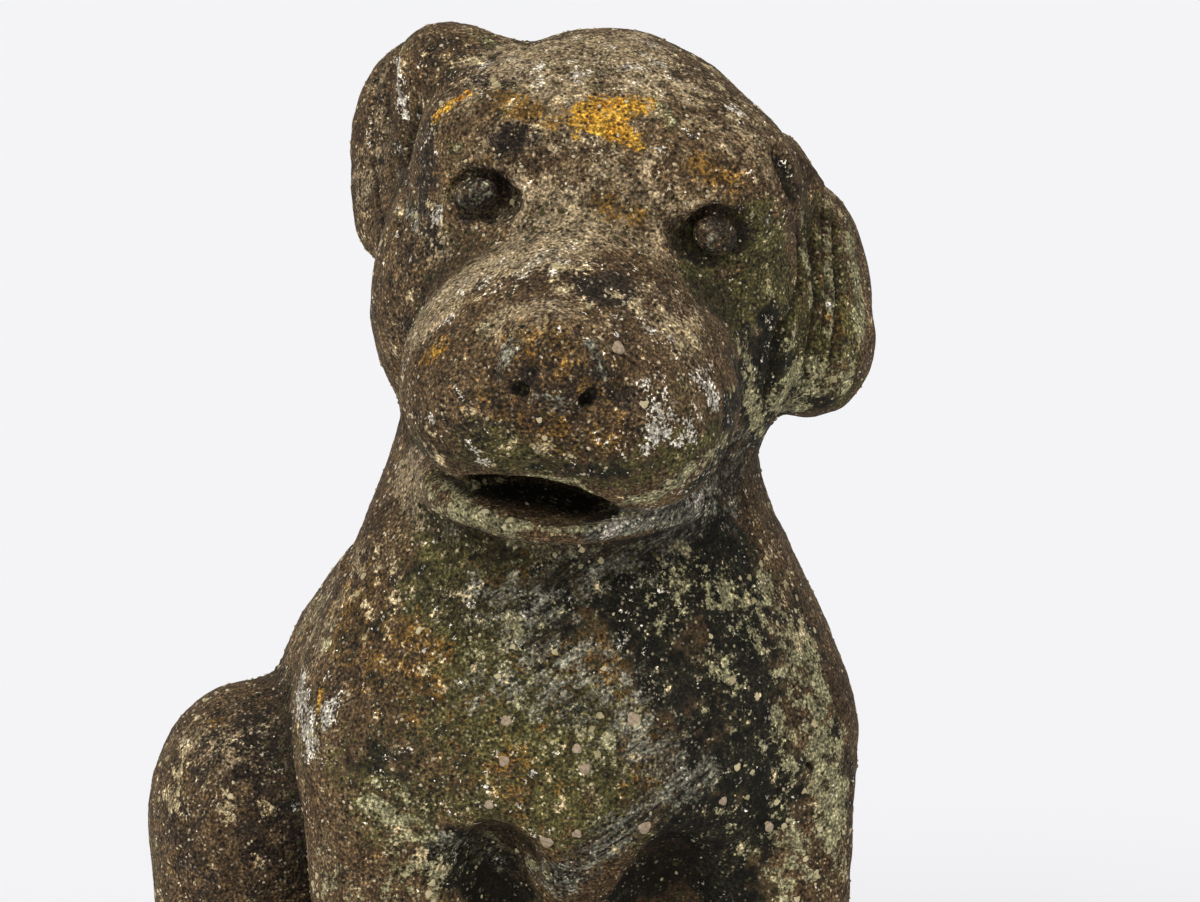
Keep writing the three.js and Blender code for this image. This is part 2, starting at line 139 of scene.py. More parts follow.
def melt(a, b, width):
    """The lower of two depths, with the crease between them filled over the given width."""
    overlap = np.maximum(width - np.abs(a - b), 0) / width
    return np.minimum(a, b) - overlap**2 * width / 4


class Clay:
    """Remembers what was added and pressed in, and tells how far points are outside it."""

    def __init__(self):
        self.steps = []

    def add(self, shape, softness):
        self.steps.append((1, shape, softness))

    def press(self, shape, softness):
        self.steps.append((-1, shape, softness))

    def depth(self, points, value=None):
        if value is None:
            value = np.full(points.shape[1], 1e3, np.float32)
        for sign, shape, softness in self.steps:
            value = sign * melt(sign * value, shape(points), softness)
        return value


ball = lump([0, 0, 0], [10, 10, 10])
print("half way out in a ball of 10 the depth is", ball(np.array([[5.0], [0.0], [0.0]], np.float32))[0])

# %% [markdown]
# ## The dog
# The head is a round skull with a very big blunt muzzle, cheeks, small eyes in shallow sockets and
# a mouth that stands a little open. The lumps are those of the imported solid, so the two agree.

# %% Head and ears
SIDES = (-1, 1)
HEAD_CENTRE = np.array([3.3, -2.1, 84], np.float32)
HEAD_POSE = turn(8, 10, -16)

head = Clay()
head.add(lump([-0.5, 0, 0.5], [15.9, 17, 16.8]), 1)
for side in SIDES:
    head.add(lump([side * 10.5, -3, -7], [7.4, 9.5, 10]), 6)
    head.add(lump([side * 8.8, -6, 7.8], [6.4, 6.6, 5.4]), 5)
muzzle = Clay()
muzzle.add(lump([0.5, -17, -6.6], [12.2, 13.6, 9.6]), 1)
for side in SIDES:
    muzzle.add(lump([0.5 + side * 6.2, -18, -9], [7.2, 11.4, 7.8]), 3)
muzzle.add(lump([0.5, -14, -1], [7.4, 10, 5]), 3)
head.add(muzzle.depth, 2.6)
head.add(lump([-0.3, -27.8, -3.6], [4.4, 2.8, 3.7]), 2)
for side in SIDES:
    head.press(lump([0.2 + side * 2.5, -31.2, -5.4], [0.95, 1.9, 0.8]), 0.5)
head.add(lump([1, -13.2, -17.9], [11.6, 13.2, 3], turn(0, -7, 0)), 1.2)
head.press(lump([-0.2, -24, -15.6], [6.3, 10, 1.9]), 0.5)
for side in SIDES:
    head.press(lump([side * 9.6, -14.4, 4.9], [3.7, 2.6, 2.35]), 1)
    head.add(lump([side * 9.6, -12, 4.8], [1.9, 1.9, 1.8]), 0.3)

right_ear = Clay()
right_ear.add(lump([-12.9, 0.5, 11.3], [6.4, 5.6, 4], turn(0, 14, 0)), 1)
right_ear.add(limb([-16.4, -0.5, 9.5], [-17.4, 1.5, -3.5], 2.6, 1.6), 2)
right_ear.add(lump([-18.8, 5, 5], [2.6, 6.6, 7.6], turn(0, 9, 40)), 1.6)
right_ear.add(lump([-18.6, 3.2, -1.2], [2.1, 4.2, 4.8], turn(0, 9, 40)), 2)

left_ear = Clay()
left_ear.add(lump([12.3, 1, 6.8], [4.3, 5, 4.3]), 1)
left_ear.add(lump([18, 2, -2.2], [3.6, 7, 9.6], turn(0, -17, -34)), 2.5)
left_ear.add(lump([18, 0.5, -6.8], [4.6, 6.4, 5.2], turn(0, 0, -52)), 2.5)


def in_head(shape):
    """A shape given in the head's own frame, placed with the head."""
    return lambda points: shape(HEAD_POSE.T @ (points - HEAD_CENTRE[:, None]))


ear_lumps = len(right_ear.steps) + len(left_ear.steps)
print("head", len(head.steps), "lumps, muzzle", len(muzzle.steps), "and ears", ear_lumps)

# %% Trunk, with the hollows between the forelegs and the brisket's point
trunk = Clay()
trunk.add(lump([0.2, -4, 44], [23.4, 17, 20]), 1)
trunk.add(limb([1.5, -1, 74], [0.8, 0, 60], 13.2, 16), 8)
trunk.add(lump([2, 6, 62], [11.5, 12.5, 14]), 8)
trunk.add(limb([3.5, 4, 68], [-5, 21, 30], 10, 16.5), 7)
trunk.add(lump([-4, 12, 38], [20, 20, 21.5]), 6)
trunk.add(lump([-7, 22, 18], [21, 17, 18]), 8)
trunk.add(lump([-1.5, -9, 41], [9.5, 11.5, 10.5]), 3)
trunk.add(lump([-2, 3, 12], [18, 12, 20]), 3)
for x, z, half_width, half_height in ((-8.6, 24, 6.2, 14), (6.4, 22, 6.4, 14.5), (-2, 16, 8, 14)):
    trunk.press(lump([x, -18, z], [half_width, 8, half_height]), 2)
trunk.add(limb([-0.5, -7, 47], [-2.6, -14.6, 33.6], 12, 2.2), 2)
print("trunk", len(trunk.steps), "lumps and hollows")

# %% Legs, paws and the curled tail
limbs = Clay()


def add_paw(x, y, halves, reach, toe_halves):
    """A paw with four toes that reach forward."""
    toes, paw_sink, toe_sink = 4, 1.6, 1.1
    limbs.add(lump([x, y, halves[2] - paw_sink], halves), 2.5)
    for i in range(toes):
        sideways = (i - (toes - 1) / 2) * halves[0] * 0.47
        limbs.add(lump([x + sideways, y - reach, toe_halves[2] - toe_sink], toe_halves), 0.8)


def tail_point(t):
    """A place on the tail's middle line, from its root at 0 to its tip at 1."""
    angle = math.radians(100 - 84 * t)
    return [-5 + 27 * math.cos(angle), 15 + 22 * math.sin(angle), 3.2 + 6 * (1 - t) ** 4]


def tail_radius(t):
    """How thick the tail is there."""
    return 4.8 - 2.4 * t


THIGH_POSE = turn(-11.5, 0, 0)
for side in SIDES:
    limbs.add(limb([0.3 + side * 16.2, -8, 42], [0.3 + side * 16.3, -13, 6], 7.2, 5.3), 3)
    add_paw(side * 16.2, -18, [6.2, 7.2, 4.8], 5, [1.7, 3.4, 3.2])
limbs.add(lump([-26, 12, 31.5], [8.8, 12.5, 12.4], THIGH_POSE), 2.5)
limbs.add(lump([-21, 14, 33], [8.5, 12.5, 10.6], THIGH_POSE), 2.5)
limbs.add(lump([13.5, 13, 27], [9, 12.5, 13.5], THIGH_POSE), 4)
limbs.add(limb([-27, 9, 24], [-26, 4, 6], 7, 4.6), 3)
limbs.add(limb([16, 8, 22], [18, 5, 6], 7, 4.6), 3)
for x, y in ((-26, -3), (19, -1)):
    add_paw(x, y, [5.6, 9, 4.6], 7.6, [1.5, 3.2, 3])
TAIL_PIECES = 7
for i in range(TAIL_PIECES):
    t0, t1 = i / TAIL_PIECES, (i + 1) / TAIL_PIECES
    limbs.add(limb(tail_point(t0), tail_point(t1), tail_radius(t0), tail_radius(t1)), 2)
print("legs, paws and tail", len(limbs.steps), "lumps")

# %% [markdown]
# The plinth is cast in one with the dog. Melting it into the clay, and not just joining two
# meshes, gives the small fillet that a mould leaves where the paws meet the slab.

# %% Plinth, and the whole figure
PLINTH_HALF = (34.2, 38.5)
PLINTH_CORNER, PLINTH_ARRIS, PLINTH_HEIGHT = 15, 1, 5.5
FIGURE_SINK = 1.25
LIMBS_TOP = 54  # above this no leg reaches, and below it no part of the head does


def plinth(points):
    """A slab with round corners and a rounded arris."""
    x = np.abs(points[0] - FOOTPRINT_MIDDLE[0]) - (PLINTH_HALF[0] - PLINTH_CORNER)
    y = np.abs(points[1] - FOOTPRINT_MIDDLE[1]) - (PLINTH_HALF[1] - PLINTH_CORNER)
    outline = np.hypot(np.maximum(x, 0), np.maximum(y, 0)) + np.minimum(np.maximum(x, y), 0) - PLINTH_CORNER
    height = np.abs(points[2] + PLINTH_HEIGHT / 2) - PLINTH_HEIGHT / 2
    a, b = outline + PLINTH_ARRIS, height + PLINTH_ARRIS
    return np.hypot(np.maximum(a, 0), np.maximum(b, 0)) + np.minimum(np.maximum(a, b), 0) - PLINTH_ARRIS


head_with_ears = Clay()
head_with_ears.add(in_head(head.depth), 3)
head_with_ears.add(in_head(right_ear.depth), 2)
head_with_ears.add(in_head(left_ear.depth), 1.4)
seat = Clay()
seat.add(plinth, 0.9)


def ornament_depth(points):
    """How far points are outside the whole ornament."""
    value = trunk.depth(points)
    low = points[2] < LIMBS_TOP
    dog = np.maximum(limbs.depth(points[:, low], value[low]), -FIGURE_SINK - points[2, low])
    value[low] = seat.depth(points[:, low], dog)
    value[~low] = head_with_ears.depth(points[:, ~low], value[~low])
    return value


inside_chest = np.array([[0], [-4], [44]], np.float32)
print("the middle of the chest lies", round(float(-ornament_depth(inside_chest)[0]) * UNIT / MM), "mm deep")

# %% [markdown]
# ## From clay to a mesh
# The clay is read on a grid. Only blocks near the surface are read in full, which is ten times
# quicker. Each grid cell that the surface crosses gets one point, and each grid edge that it
# crosses gets a square of four such points: this is called surface nets, and it gives a closed
# mesh of even squares that takes fine relief well.

# %% Reading the grid
GRID_LOW = np.array([-40.4, -34.4, -7.2])
GRID_HIGH = np.array([32.8, 47.4, 104.8])
GRID_STEP = 0.38
BLOCK = 4


def read_grid():
    """The clay's depth at every grid point."""
    side = GRID_STEP * BLOCK
    blocks = np.ceil((GRID_HIGH - GRID_LOW) / side).astype(int)
    centres = [GRID_LOW[i] + side * (np.arange(blocks[i]) + 0.5) for i in range(3)]
    middles = np.stack(np.meshgrid(*centres, indexing="ij")).reshape(3, -1).astype(np.float32)
    coarse = ornament_depth(middles).reshape(blocks)
    near = np.abs(coarse) < side * 1.5
    values, wanted = coarse, near
    for axis in range(3):
        values = values.repeat(BLOCK, axis)
        wanted = wanted.repeat(BLOCK, axis)
    values = np.pad(values, ((0, 1),) * 3, mode="edge")
    wanted = np.pad(wanted, ((0, 1),) * 3)
    for axis in range(3):
        wanted |= np.roll(wanted, 1, axis)
    places = np.argwhere(wanted)
    values[wanted] = ornament_depth((GRID_LOW + places * GRID_STEP).T.astype(np.float32))
    return values


print("the grid steps by", round(GRID_STEP * UNIT / MM, 2), "mm")

# %% Filling pinches, so that the skin never touches itself at a point
JUST_INSIDE = -0.01
CORNERS = np.array(list(np.ndindex(2, 2, 2)))
EDGES = [(a, b) for a in range(8) for b in range(a + 1, 8) if np.abs(CORNERS[a] - CORNERS[b]).sum() == 1]


def hangs_together(pattern, kind):
    """Whether the cell's corners of one kind are joined along its edges."""
    members = [i for i in range(8) if (pattern >> i) & 1 == kind]
    reached = set(members[:1])
    for _ in members:
        for a, b in EDGES:
            if a in members and b in members and (a in reached or b in reached):
                reached |= {a, b}
    return len(reached) == len(members)


def has_crossed_side(pattern):
    """Whether one side of the cell has its inside corners only across a diagonal."""
    for axis in range(3):
        for end in (0, 1):
            a, b, c, d = [pattern >> i & 1 for i in range(8) if CORNERS[i][axis] == end]
            if a == d and b == c and a != b:
                return True
    return False


def cell_patterns(inside):
    """Which corners of each cell are inside, one bit for each."""
    n = np.array(inside.shape) - 1
    found = np.zeros(n, np.int32)
    for i, (x, y, z) in enumerate(CORNERS):
        found |= inside[x:x + n[0], y:y + n[1], z:z + n[2]].astype(np.int32) << i
    return found


PINCHED = np.array([
    has_crossed_side(p) or not (hangs_together(p, 0) and hangs_together(p, 1)) for p in range(256)
])


def fill_pinches(values):
    """Adds the thinnest outside corner of each pinched cell to the clay, until none is left."""
    cells = np.argwhere(PINCHED[cell_patterns(values < 0)])
    while len(cells):
        corners = cells[:, None] + CORNERS
        reading = values[tuple(corners.transpose(2, 0, 1))]
        outside = np.where(reading < 0, np.inf, reading)
        thinnest = corners[np.arange(len(cells)), outside.argmin(1)]
        values[tuple(thinnest.T)] = JUST_INSIDE
        cells = np.argwhere(PINCHED[cell_patterns(values < 0)])


print(PINCHED.sum(), "of the 256 ways to fill a cell's corners pinch the skin")

# %% The skin over the grid
def skin(values):
    """Points and squares of the surface, in hundredths of the dog's height."""
    inside = values < 0
    pattern = cell_patterns(inside)
    cells = np.argwhere((pattern > 0) & (pattern < 255))
    reading = values[tuple((cells[:, None] + CORNERS).transpose(2, 0, 1))]
    total, count = np.zeros((len(cells), 3)), np.zeros(len(cells))
    for a, b in EDGES:
        crossed = (reading[:, a] < 0) != (reading[:, b] < 0)
        t = np.where(crossed, reading[:, a] / (reading[:, a] - reading[:, b] + ~crossed), 0)
        total += crossed[:, None] * (CORNERS[a] + t[:, None] * (CORNERS[b] - CORNERS[a]))
        count += crossed
    points = GRID_LOW + (cells + total / count[:, None]) * GRID_STEP
    number = np.full(pattern.shape, -1)
    number[tuple(cells.T)] = np.arange(len(cells))
    squares = []
    for axis in range(3):
        along, u, v = np.roll(np.eye(3, dtype=int), axis, 0)
        shift = tuple(slice(s, None) for s in along)
        back = tuple(slice(None, -1 if s else None) for s in along)
        edges = np.argwhere(inside[back] != inside[shift])
        edges = edges[(edges @ (u + v) > 0) & (edges @ u > 0) & (edges @ v > 0)]
        ring = np.stack([number[tuple((edges - c).T)] for c in (u + v, v, 0 * u, u)], 1)
        outwards = inside[tuple(edges.T)]
        ring[~outwards] = ring[~outwards][:, ::-1]
        squares.append(ring)
    return points, np.concatenate(squares)


def settle(points):
    """Moves each point straight onto the clay's surface, by a small step at most."""
    reach, longest = GRID_STEP * 0.1, GRID_STEP * 0.4
    here = points.T.astype(np.float32)
    miss = ornament_depth(here)
    shifts = reach * np.eye(3, dtype=np.float32)
    slope = np.stack([ornament_depth(here + shifts[:, [i]]) - miss for i in range(3)]) / reach
    steepness = np.maximum(np.sqrt((slope**2).sum(0)), 0.3)
    step = np.clip(miss / steepness, -longest, longest)
    return (here - slope / steepness * step).T


grid = read_grid()
fill_pinches(grid)
clay_points, squares = skin(grid)
clay_points = settle(clay_points)
print("grid", grid.shape, "gives", len(clay_points), "points and", len(squares), "squares")

# %% [markdown]
# ## The stone itself
# The squares become a mesh in metres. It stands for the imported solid, whose own mesh is left out.

# %% The main mesh
def new_object(name, points, faces):
    """A mesh object at the origin, with its place in its mesh."""
    mesh = bpy.data.meshes.new(name)
    mesh.from_pydata(np.asarray(points).tolist(), [], np.asarray(faces).tolist())
    made = bpy.data.objects.new(name, mesh)
    bpy.context.scene.collection.objects.link(made)
    return made


clay_places = to_metres(clay_points)
stone = new_object("stone_dog", clay_places, squares)
bpy.context.view_layer.update()
stone_tree = BVHTree.FromObject(stone, bpy.context.evaluated_depsgraph_get())
print("main mesh:", len(stone.data.vertices), "points")

# %% [markdown]
# ## Tool marks and damage
# Grooves, ridges, lids and holes are small next to the lumps, so they are cut after the mesh is
# made, as a carver would: the points near a line move in or out along their normals. A line is
# given where the photograph shows it, and a ray from the camera finds the stone there, so that
# every mark sits on the surface, seen from any side.

# %% Finding places on the stone
FOCAL = LENS / SENSOR * PHOTO_WIDTH
camera_turn = camera.rotation_euler.to_matrix()


def trace(line, spacing=5):
    """The places on the stone along a line of pixels of the photograph."""
    pixels = [np.array(line[0], float)]
    for start, end in zip(line, line[1:]):
        steps = max(1, math.ceil(math.dist(start, end) / spacing))
        pixels += [np.array(start) + (np.array(end) - start) * k / steps for k in range(1, steps + 1)]
    places = []
    for x, y in pixels:
        ray = Vector(((x - PHOTO_WIDTH / 2) / FOCAL, (PHOTO_HEIGHT / 2 - y) / FOCAL, -1))
        place = stone_tree.ray_cast(camera.location, camera_turn @ ray)[0]
        if place is not None:
            places.append(place)
    return np.array(places)


def closeness(points, line, radius):
    """One at the line, falling to nothing at the radius in millimetres."""
    places = trace(line)
    reach = radius * MM
    found = np.zeros(len(points))
    near = ((points > places.min(0) - reach) & (points < places.max(0) + reach)).all(1)
    gaps = points[near][:, None] - places
    t = np.clip(1 - np.sqrt((gaps**2).sum(2)).min(1) / reach, 0, 1)
    found[near] = t * t * (3 - 2 * t)
    return found


print("a ray through the left eye meets the stone at", trace([(713, 236)])[0].round(3))

# %% The marks: a line of pixels, half the width in mm, and the height in mm
MARKS = {
    "right ear grooves": [
        ([(376, 72), (371, 130), (377, 195), (385, 238)], 2.4, -1.5),
        ([(391, 66), (386, 125), (391, 180)], 2.2, -1.2),
    ],
    "right ear fold edge": [([(404, 58), (398, 92), (402, 130), (410, 175)], 2.6, 1.1)],
    "left ear grooves": [
        ([(812, 245), (818, 300), (810, 350), (806, 385)], 2.4, -2.2),
        ([(824, 215), (829, 290), (822, 350), (818, 385)], 2.4, -2.0),
        ([(836, 225), (840, 300), (834, 360)], 2.6, -2.6),
    ],
    "left ear fold": [
        ([(780, 155), (794, 192)], 6, -4.6), ([(797, 215), (800, 285), (788, 335)], 3.6, -2.4),
        ([(785, 325), (772, 395)], 6, -4.6),
    ],
    "left ear's root": [([(806, 166), (818, 184)], 6, 2.0)],
    "right ear valley": [([(420, 118), (408, 170), (396, 235)], 4.5, -2.6)],
    "eyeballs": [([(458, 198), (484, 193)], 8, 1.9), ([(712, 236)], 9, 3.0)],
    "rings round the eyes": [
        ([(492, 220), (505, 200), (499, 180), (478, 173), (454, 182)], 2.8, -1.5),
        ([(700, 262), (686, 242), (692, 216), (714, 206), (736, 216), (742, 240)], 2.8, -1.9),
    ],
    "upper lids": [
        ([(446, 182), (466, 164), (497, 163), (516, 182)], 3.2, 1.5),
        ([(676, 224), (700, 198), (738, 202), (762, 226)], 3.4, 1.6),
    ],
    "lower lids": [
        ([(455, 204), (475, 212), (500, 208)], 2.2, 0.7), ([(690, 250), (715, 259), (742, 254)], 2.2, 0.7),
    ],
    "nose": [
        ([(528, 366), (580, 374)], 15, 1.5), ([(505, 358), (510, 388)], 3.4, 0.8),
        ([(606, 360), (604, 396)], 3.4, 0.8),
    ],
    "round the nose": [
        ([(492, 378), (497, 345), (545, 326), (604, 336), (622, 372), (608, 410), (555, 424),
         (505, 410), (492, 378)], 4, -0.8),
    ],
    "nostrils": [
        ([(534, 373)], 2.6, -2.0), ([(512, 388)], 3.4, -1.8), ([(524, 392)], 3.4, -1.8),
        ([(517, 399)], 2.4, -1.0), ([(584, 400)], 3.6, -1.8), ([(592, 390)], 3.4, -1.8),
        ([(578, 405)], 2.4, -1.0),
    ],
    "lines of the nose": [
        ([(598, 342), (612, 362), (610, 385)], 3, 0.9), ([(545, 412), (552, 470)], 4, -0.5),
    ],
    "lower lip's rim": [
        ([(446, 484), (470, 508), (500, 524), (540, 532), (590, 528), (640, 514)], 2.6, 0.9),
    ],
    "mortar under the jaw": [([(470, 530), (530, 548), (600, 545), (660, 528), (715, 492)], 3.2, -1.5)],
    "stain's dent": [([(590, 288), (620, 288)], 8, -0.9)],
    "brow furrow": [([(585, 205), (610, 190), (640, 196)], 6, -0.8)],
    "holes": [
        ([(810, 765)], 2, -3), ([(740, 208)], 1.6, -1.6), ([(405, 141)], 1.8, -1.6),
        ([(385, 215)], 1.8, -1.6),
    ],
    "chips": [
        ([(517, 138)], 5, -0.9), ([(430, 520), (450, 560)], 5, -0.8), ([(640, 440), (655, 452)], 4, -0.8),
        ([(700, 95)], 5, -0.7), ([(470, 240)], 5, -0.8), ([(330, 690)], 6, -0.9),
    ],
    "nub on the shoulder": [([(346, 566)], 4, 2.2)],
}


def normals_of(mesh):
    """The direction in which each point of a mesh faces."""
    found = np.zeros(len(mesh.vertices) * 3, np.float32)
    mesh.vertex_normals.foreach_get("vector", found)
    return found.reshape(-1, 3)


def places_of(mesh):
    """Where each point of a mesh lies."""
    found = np.zeros(len(mesh.vertices) * 3, np.float32)
    mesh.vertices.foreach_get("co", found)
    return found.reshape(-1, 3)


carved_height = np.zeros(len(clay_places))
for marks in MARKS.values():
    for line, half_width, height in marks:
        carved_height += closeness(clay_places, line, half_width) * height * MM
carved = clay_places + normals_of(stone.data) * carved_height[:, None]
stone.data.vertices.foreach_set("co", carved.astype(np.float32).ravel())
stone.data.update()
mark_count = sum(len(marks) for marks in MARKS.values())
print("marks:", mark_count, "deepest", round(carved_height.min() / MM, 2), "mm")

# %% [markdown]
# ## Weathering
# Rain has eaten the soft cement between the grains. On the real dog that gives low swellings some
# 30 mm apart, a lumpy skin at 8 mm, a grain at 3 mm, and scattered holes where a pebble fell out.
# Each is a rule that follows the surface, so a Geometry Nodes tree makes them, with one input for
# each real size in millimetres.

# %% One helper for nodes
def add_node(tree, kind, inputs=None, **settings):
    """Adds a node with its settings. An input is a value, a socket, or a node for its first output."""
    made = tree.nodes.new(kind)
    for name, value in settings.items():
        setattr(made, name, value)
    for key, value in (inputs or {}).items():
        if isinstance(value, bpy.types.Node):
            value = value.outputs[0]
        if isinstance(value, bpy.types.NodeSocket):
            tree.links.new(value, made.inputs[key])
        else:
            made.inputs[key].default_value = value
    return made


def new_tree(name, sizes):
    """A Geometry Nodes tree with a number input for each named size. Returns it and its two ends."""
    tree = bpy.data.node_groups.new(name, "GeometryNodeTree")
    tree.interface.new_socket("Geometry", in_out="INPUT", socket_type="NodeSocketGeometry")
    tree.interface.new_socket("Geometry", in_out="OUTPUT", socket_type="NodeSocketGeometry")
    for size in sizes:
        tree.interface.new_socket(size, in_out="INPUT", socket_type="NodeSocketFloat")
    return tree, add_node(tree, "NodeGroupInput").outputs, add_node(tree, "NodeGroupOutput").inputs


def apply_tree(thing, tree, sizes):
    """Puts the tree on an object with its sizes. Returns the result as a plain mesh."""
    modifier = thing.modifiers.new(tree.name, "NODES")
    modifier.node_group = tree
    for item in tree.interface.items_tree:
        if item.in_out == "INPUT" and item.name in sizes:
            modifier[item.identifier] = float(sizes[item.name])
    evaluated = thing.evaluated_get(bpy.context.evaluated_depsgraph_get())
    made = bpy.data.meshes.new_from_object(evaluated)
    thing.modifiers.remove(modifier)
    return made


# %% The weathering tree
WEATHERING = {
    "Swelling apart mm": 32, "Swelling height mm": 0.9,
    "Lump apart mm": 9, "Lump height mm": 0.75,
    "Grain apart mm": 3.2, "Grain height mm": 0.42,
    "Hole apart mm": 13, "Hole half width mm": 1.9, "Hole depth mm": 1.3,
}
weathering, sizes_in, geometry_out = new_tree("weathering", WEATHERING)
position = add_node(weathering, "GeometryNodeInputPosition")
total = 0.0
for seed, word in enumerate(("Swelling", "Lump", "Grain")):
    scale = add_node(weathering, "ShaderNodeMath",
                     {0: 1 / MM, 1: sizes_in[f"{word} apart mm"]}, operation="DIVIDE")
    noise = add_node(weathering, "ShaderNodeTexNoise",
                     {"Vector": position, "W": 7.0 * seed, "Scale": scale, "Detail": 2.0},
                     noise_dimensions="4D")
    centred = add_node(weathering, "ShaderNodeMath", {0: noise, 1: 0.5}, operation="SUBTRACT")
    swing = add_node(weathering, "ShaderNodeMath",
                     {0: centred, 1: sizes_in[f"{word} height mm"]}, operation="MULTIPLY")
    total = add_node(weathering, "ShaderNodeMath", {0: total, 1: swing})
doubled = add_node(weathering, "ShaderNodeMath", {0: total, 1: 2.0}, operation="MULTIPLY")
apart = sizes_in["Hole apart mm"]
scale = add_node(weathering, "ShaderNodeMath", {0: 1 / MM, 1: apart}, operation="DIVIDE")
cells = add_node(weathering, "ShaderNodeTexVoronoi", {"Vector": position, "Scale": scale})
from_hole = add_node(weathering, "ShaderNodeMath",
                     {0: cells.outputs["Distance"], 1: apart}, operation="MULTIPLY")
half_width = sizes_in["Hole half width mm"]
in_hole = add_node(weathering, "ShaderNodeMapRange",
                   {"Value": from_hole, "From Min": half_width, "From Max": 0.0},
                   interpolation_type="SMOOTHSTEP")
hole = add_node(weathering, "ShaderNodeMath",
                {0: in_hole, 1: sizes_in["Hole depth mm"]}, operation="MULTIPLY")
height = add_node(weathering, "ShaderNodeMath", {0: doubled, 1: hole}, operation="SUBTRACT")
# The underside and the foot of the plinth stay true, so that the ornament stands flat
z = add_node(weathering, "ShaderNodeSeparateXYZ", {0: position}).outputs["Z"]
FOOT_TRUE, FOOT_WORN = 3 * MM, 9 * MM
above_foot = add_node(weathering, "ShaderNodeMapRange",
                      {"Value": z, "From Min": FOOT_TRUE, "From Max": FOOT_WORN})
kept = add_node(weathering, "ShaderNodeMath", {0: height, 1: above_foot}, operation="MULTIPLY")
metres = add_node(weathering, "ShaderNodeMath", {0: kept, 1: MM}, operation="MULTIPLY")
normal = add_node(weathering, "GeometryNodeInputNormal")
offset = add_node(weathering, "ShaderNodeVectorMath", {0: normal, "Scale": metres}, operation="SCALE")
moved = add_node(weathering, "GeometryNodeSetPosition",
                 {"Geometry": sizes_in["Geometry"], "Offset": offset})
weathering.links.new(moved.outputs[0], geometry_out["Geometry"])

stone.data = apply_tree(stone, weathering, WEATHERING)
print("weathered:", len(stone.data.vertices), "points")

# %% [markdown]
# ## Fewer triangles, where few are needed
# A piece stays under 200,000 triangles. Decimate takes triangles first from where a vertex group says so:
# here from the flat underside, the back and the base, and last from the face and the chest.

# %% Thinning the mesh
MOST_TRIANGLES = 190000
# The photograph shows nothing below the first height, and everything above the two together
PICTURE_FOOT, PICTURE_FADE = 110 * MM, 30 * MM


def from_camera(points, normals):
    """How squarely each point faces the camera, and whether it is high enough to be in the picture."""
    facing = normals @ np.array(towards_camera)
    above_foot = (points[:, 2] - PICTURE_FOOT) / PICTURE_FADE
    return np.clip(facing * 2 + 0.5, 0, 1) * np.clip(above_foot, 0, 1)


seen = from_camera(places_of(stone.data), normals_of(stone.data))
group = stone.vertex_groups.new(name="plain")
STRENGTHS = 10
for step in range(1, STRENGTHS + 1):
    chosen = np.flatnonzero(np.round((1 - seen) * STRENGTHS) == step)
    group.add(chosen.tolist(), step / STRENGTHS, "REPLACE")
triangles = sum(len(p.vertices) - 2 for p in stone.data.polygons)
thinning = stone.modifiers.new("thinning", "DECIMATE")
thinning.ratio = min(1, MOST_TRIANGLES / triangles)
thinning.vertex_group = "plain"
thinning.vertex_group_factor = 0.6
thinned = bpy.data.meshes.new_from_object(stone.evaluated_get(bpy.context.evaluated_depsgraph_get()))
stone.modifiers.remove(thinning)
stone.vertex_groups.clear()
stone.data = thinned
stone.data.name = "stone_dog"
stone.data.shade_smooth()
places, normals = places_of(stone.data), normals_of(stone.data)
print("thinned from", triangles, "to", sum(len(p.vertices) - 2 for p in stone.data.polygons), "triangles")

# %% [markdown]
# ## Patina
# What covers the stone depends on rain, shade and touch, so no rule gives it: each growth or stain lies in
# patches of its own, and some patches of soot and black algae are painted shade instead. A patch is a
# soft-edged weight on the mesh's points, laid along a line where the photograph shows it. The material
# later breaks these soft edges up into ragged ones. On the sides that the photograph doesn't show, the
# weights follow the lie of the surface.

# %% Weights on the hidden sides
seen = from_camera(places, normals)
up = np.clip(normals[:, 2], -1, 1)
edge_ends = np.array([e.vertices[:] for e in stone.data.edges])


def smoothed(values, rounds):
    """Each point's value, averaged with its neighbours' again and again."""
    a, b = edge_ends.T
    count = np.bincount(edge_ends.ravel(), minlength=len(values)) + 1.0
    for _ in range(rounds):
        total = values.copy()
        for k in range(values.shape[1]):
            total[:, k] += np.bincount(a, values[b, k], len(values))
            total[:, k] += np.bincount(b, values[a, k], len(values))
        values = total / count[:, None]
    return values


SMOOTHING_ROUNDS, HOLLOW_DEPTH = 30, 0.7 * MM
sunk = ((smoothed(places.astype(float), SMOOTHING_ROUNDS) - places) * normals).sum(1)
hollow = np.clip(0.5 + sunk / HOLLOW_DEPTH / 2, 0, 1)
IN_A_HOLLOW = 0.55
print((hollow > IN_A_HOLLOW).sum(), "of", len(hollow), "points lie in small hollows")


WAVES, SHORTEST_WAVE, LONGEST_WAVE = 6, 90, 190
WAVES_TOGETHER = 2.6  # six waves seldom add up to more than this


def drift(seed):
    """A slow wandering between about -1 and 1 over the stone, in patches some 70 mm wide."""
    chance = np.random.default_rng(seed)
    total = np.zeros(len(places))
    for _ in range(WAVES):
        direction = chance.normal(size=3)
        direction /= np.linalg.norm(direction)
        length = chance.uniform(SHORTEST_WAVE, LONGEST_WAVE) * MM
        total += np.sin(places @ direction * 2 * math.pi / length + chance.uniform(0, 2 * math.pi))
    return total / WAVES_TOGETHER


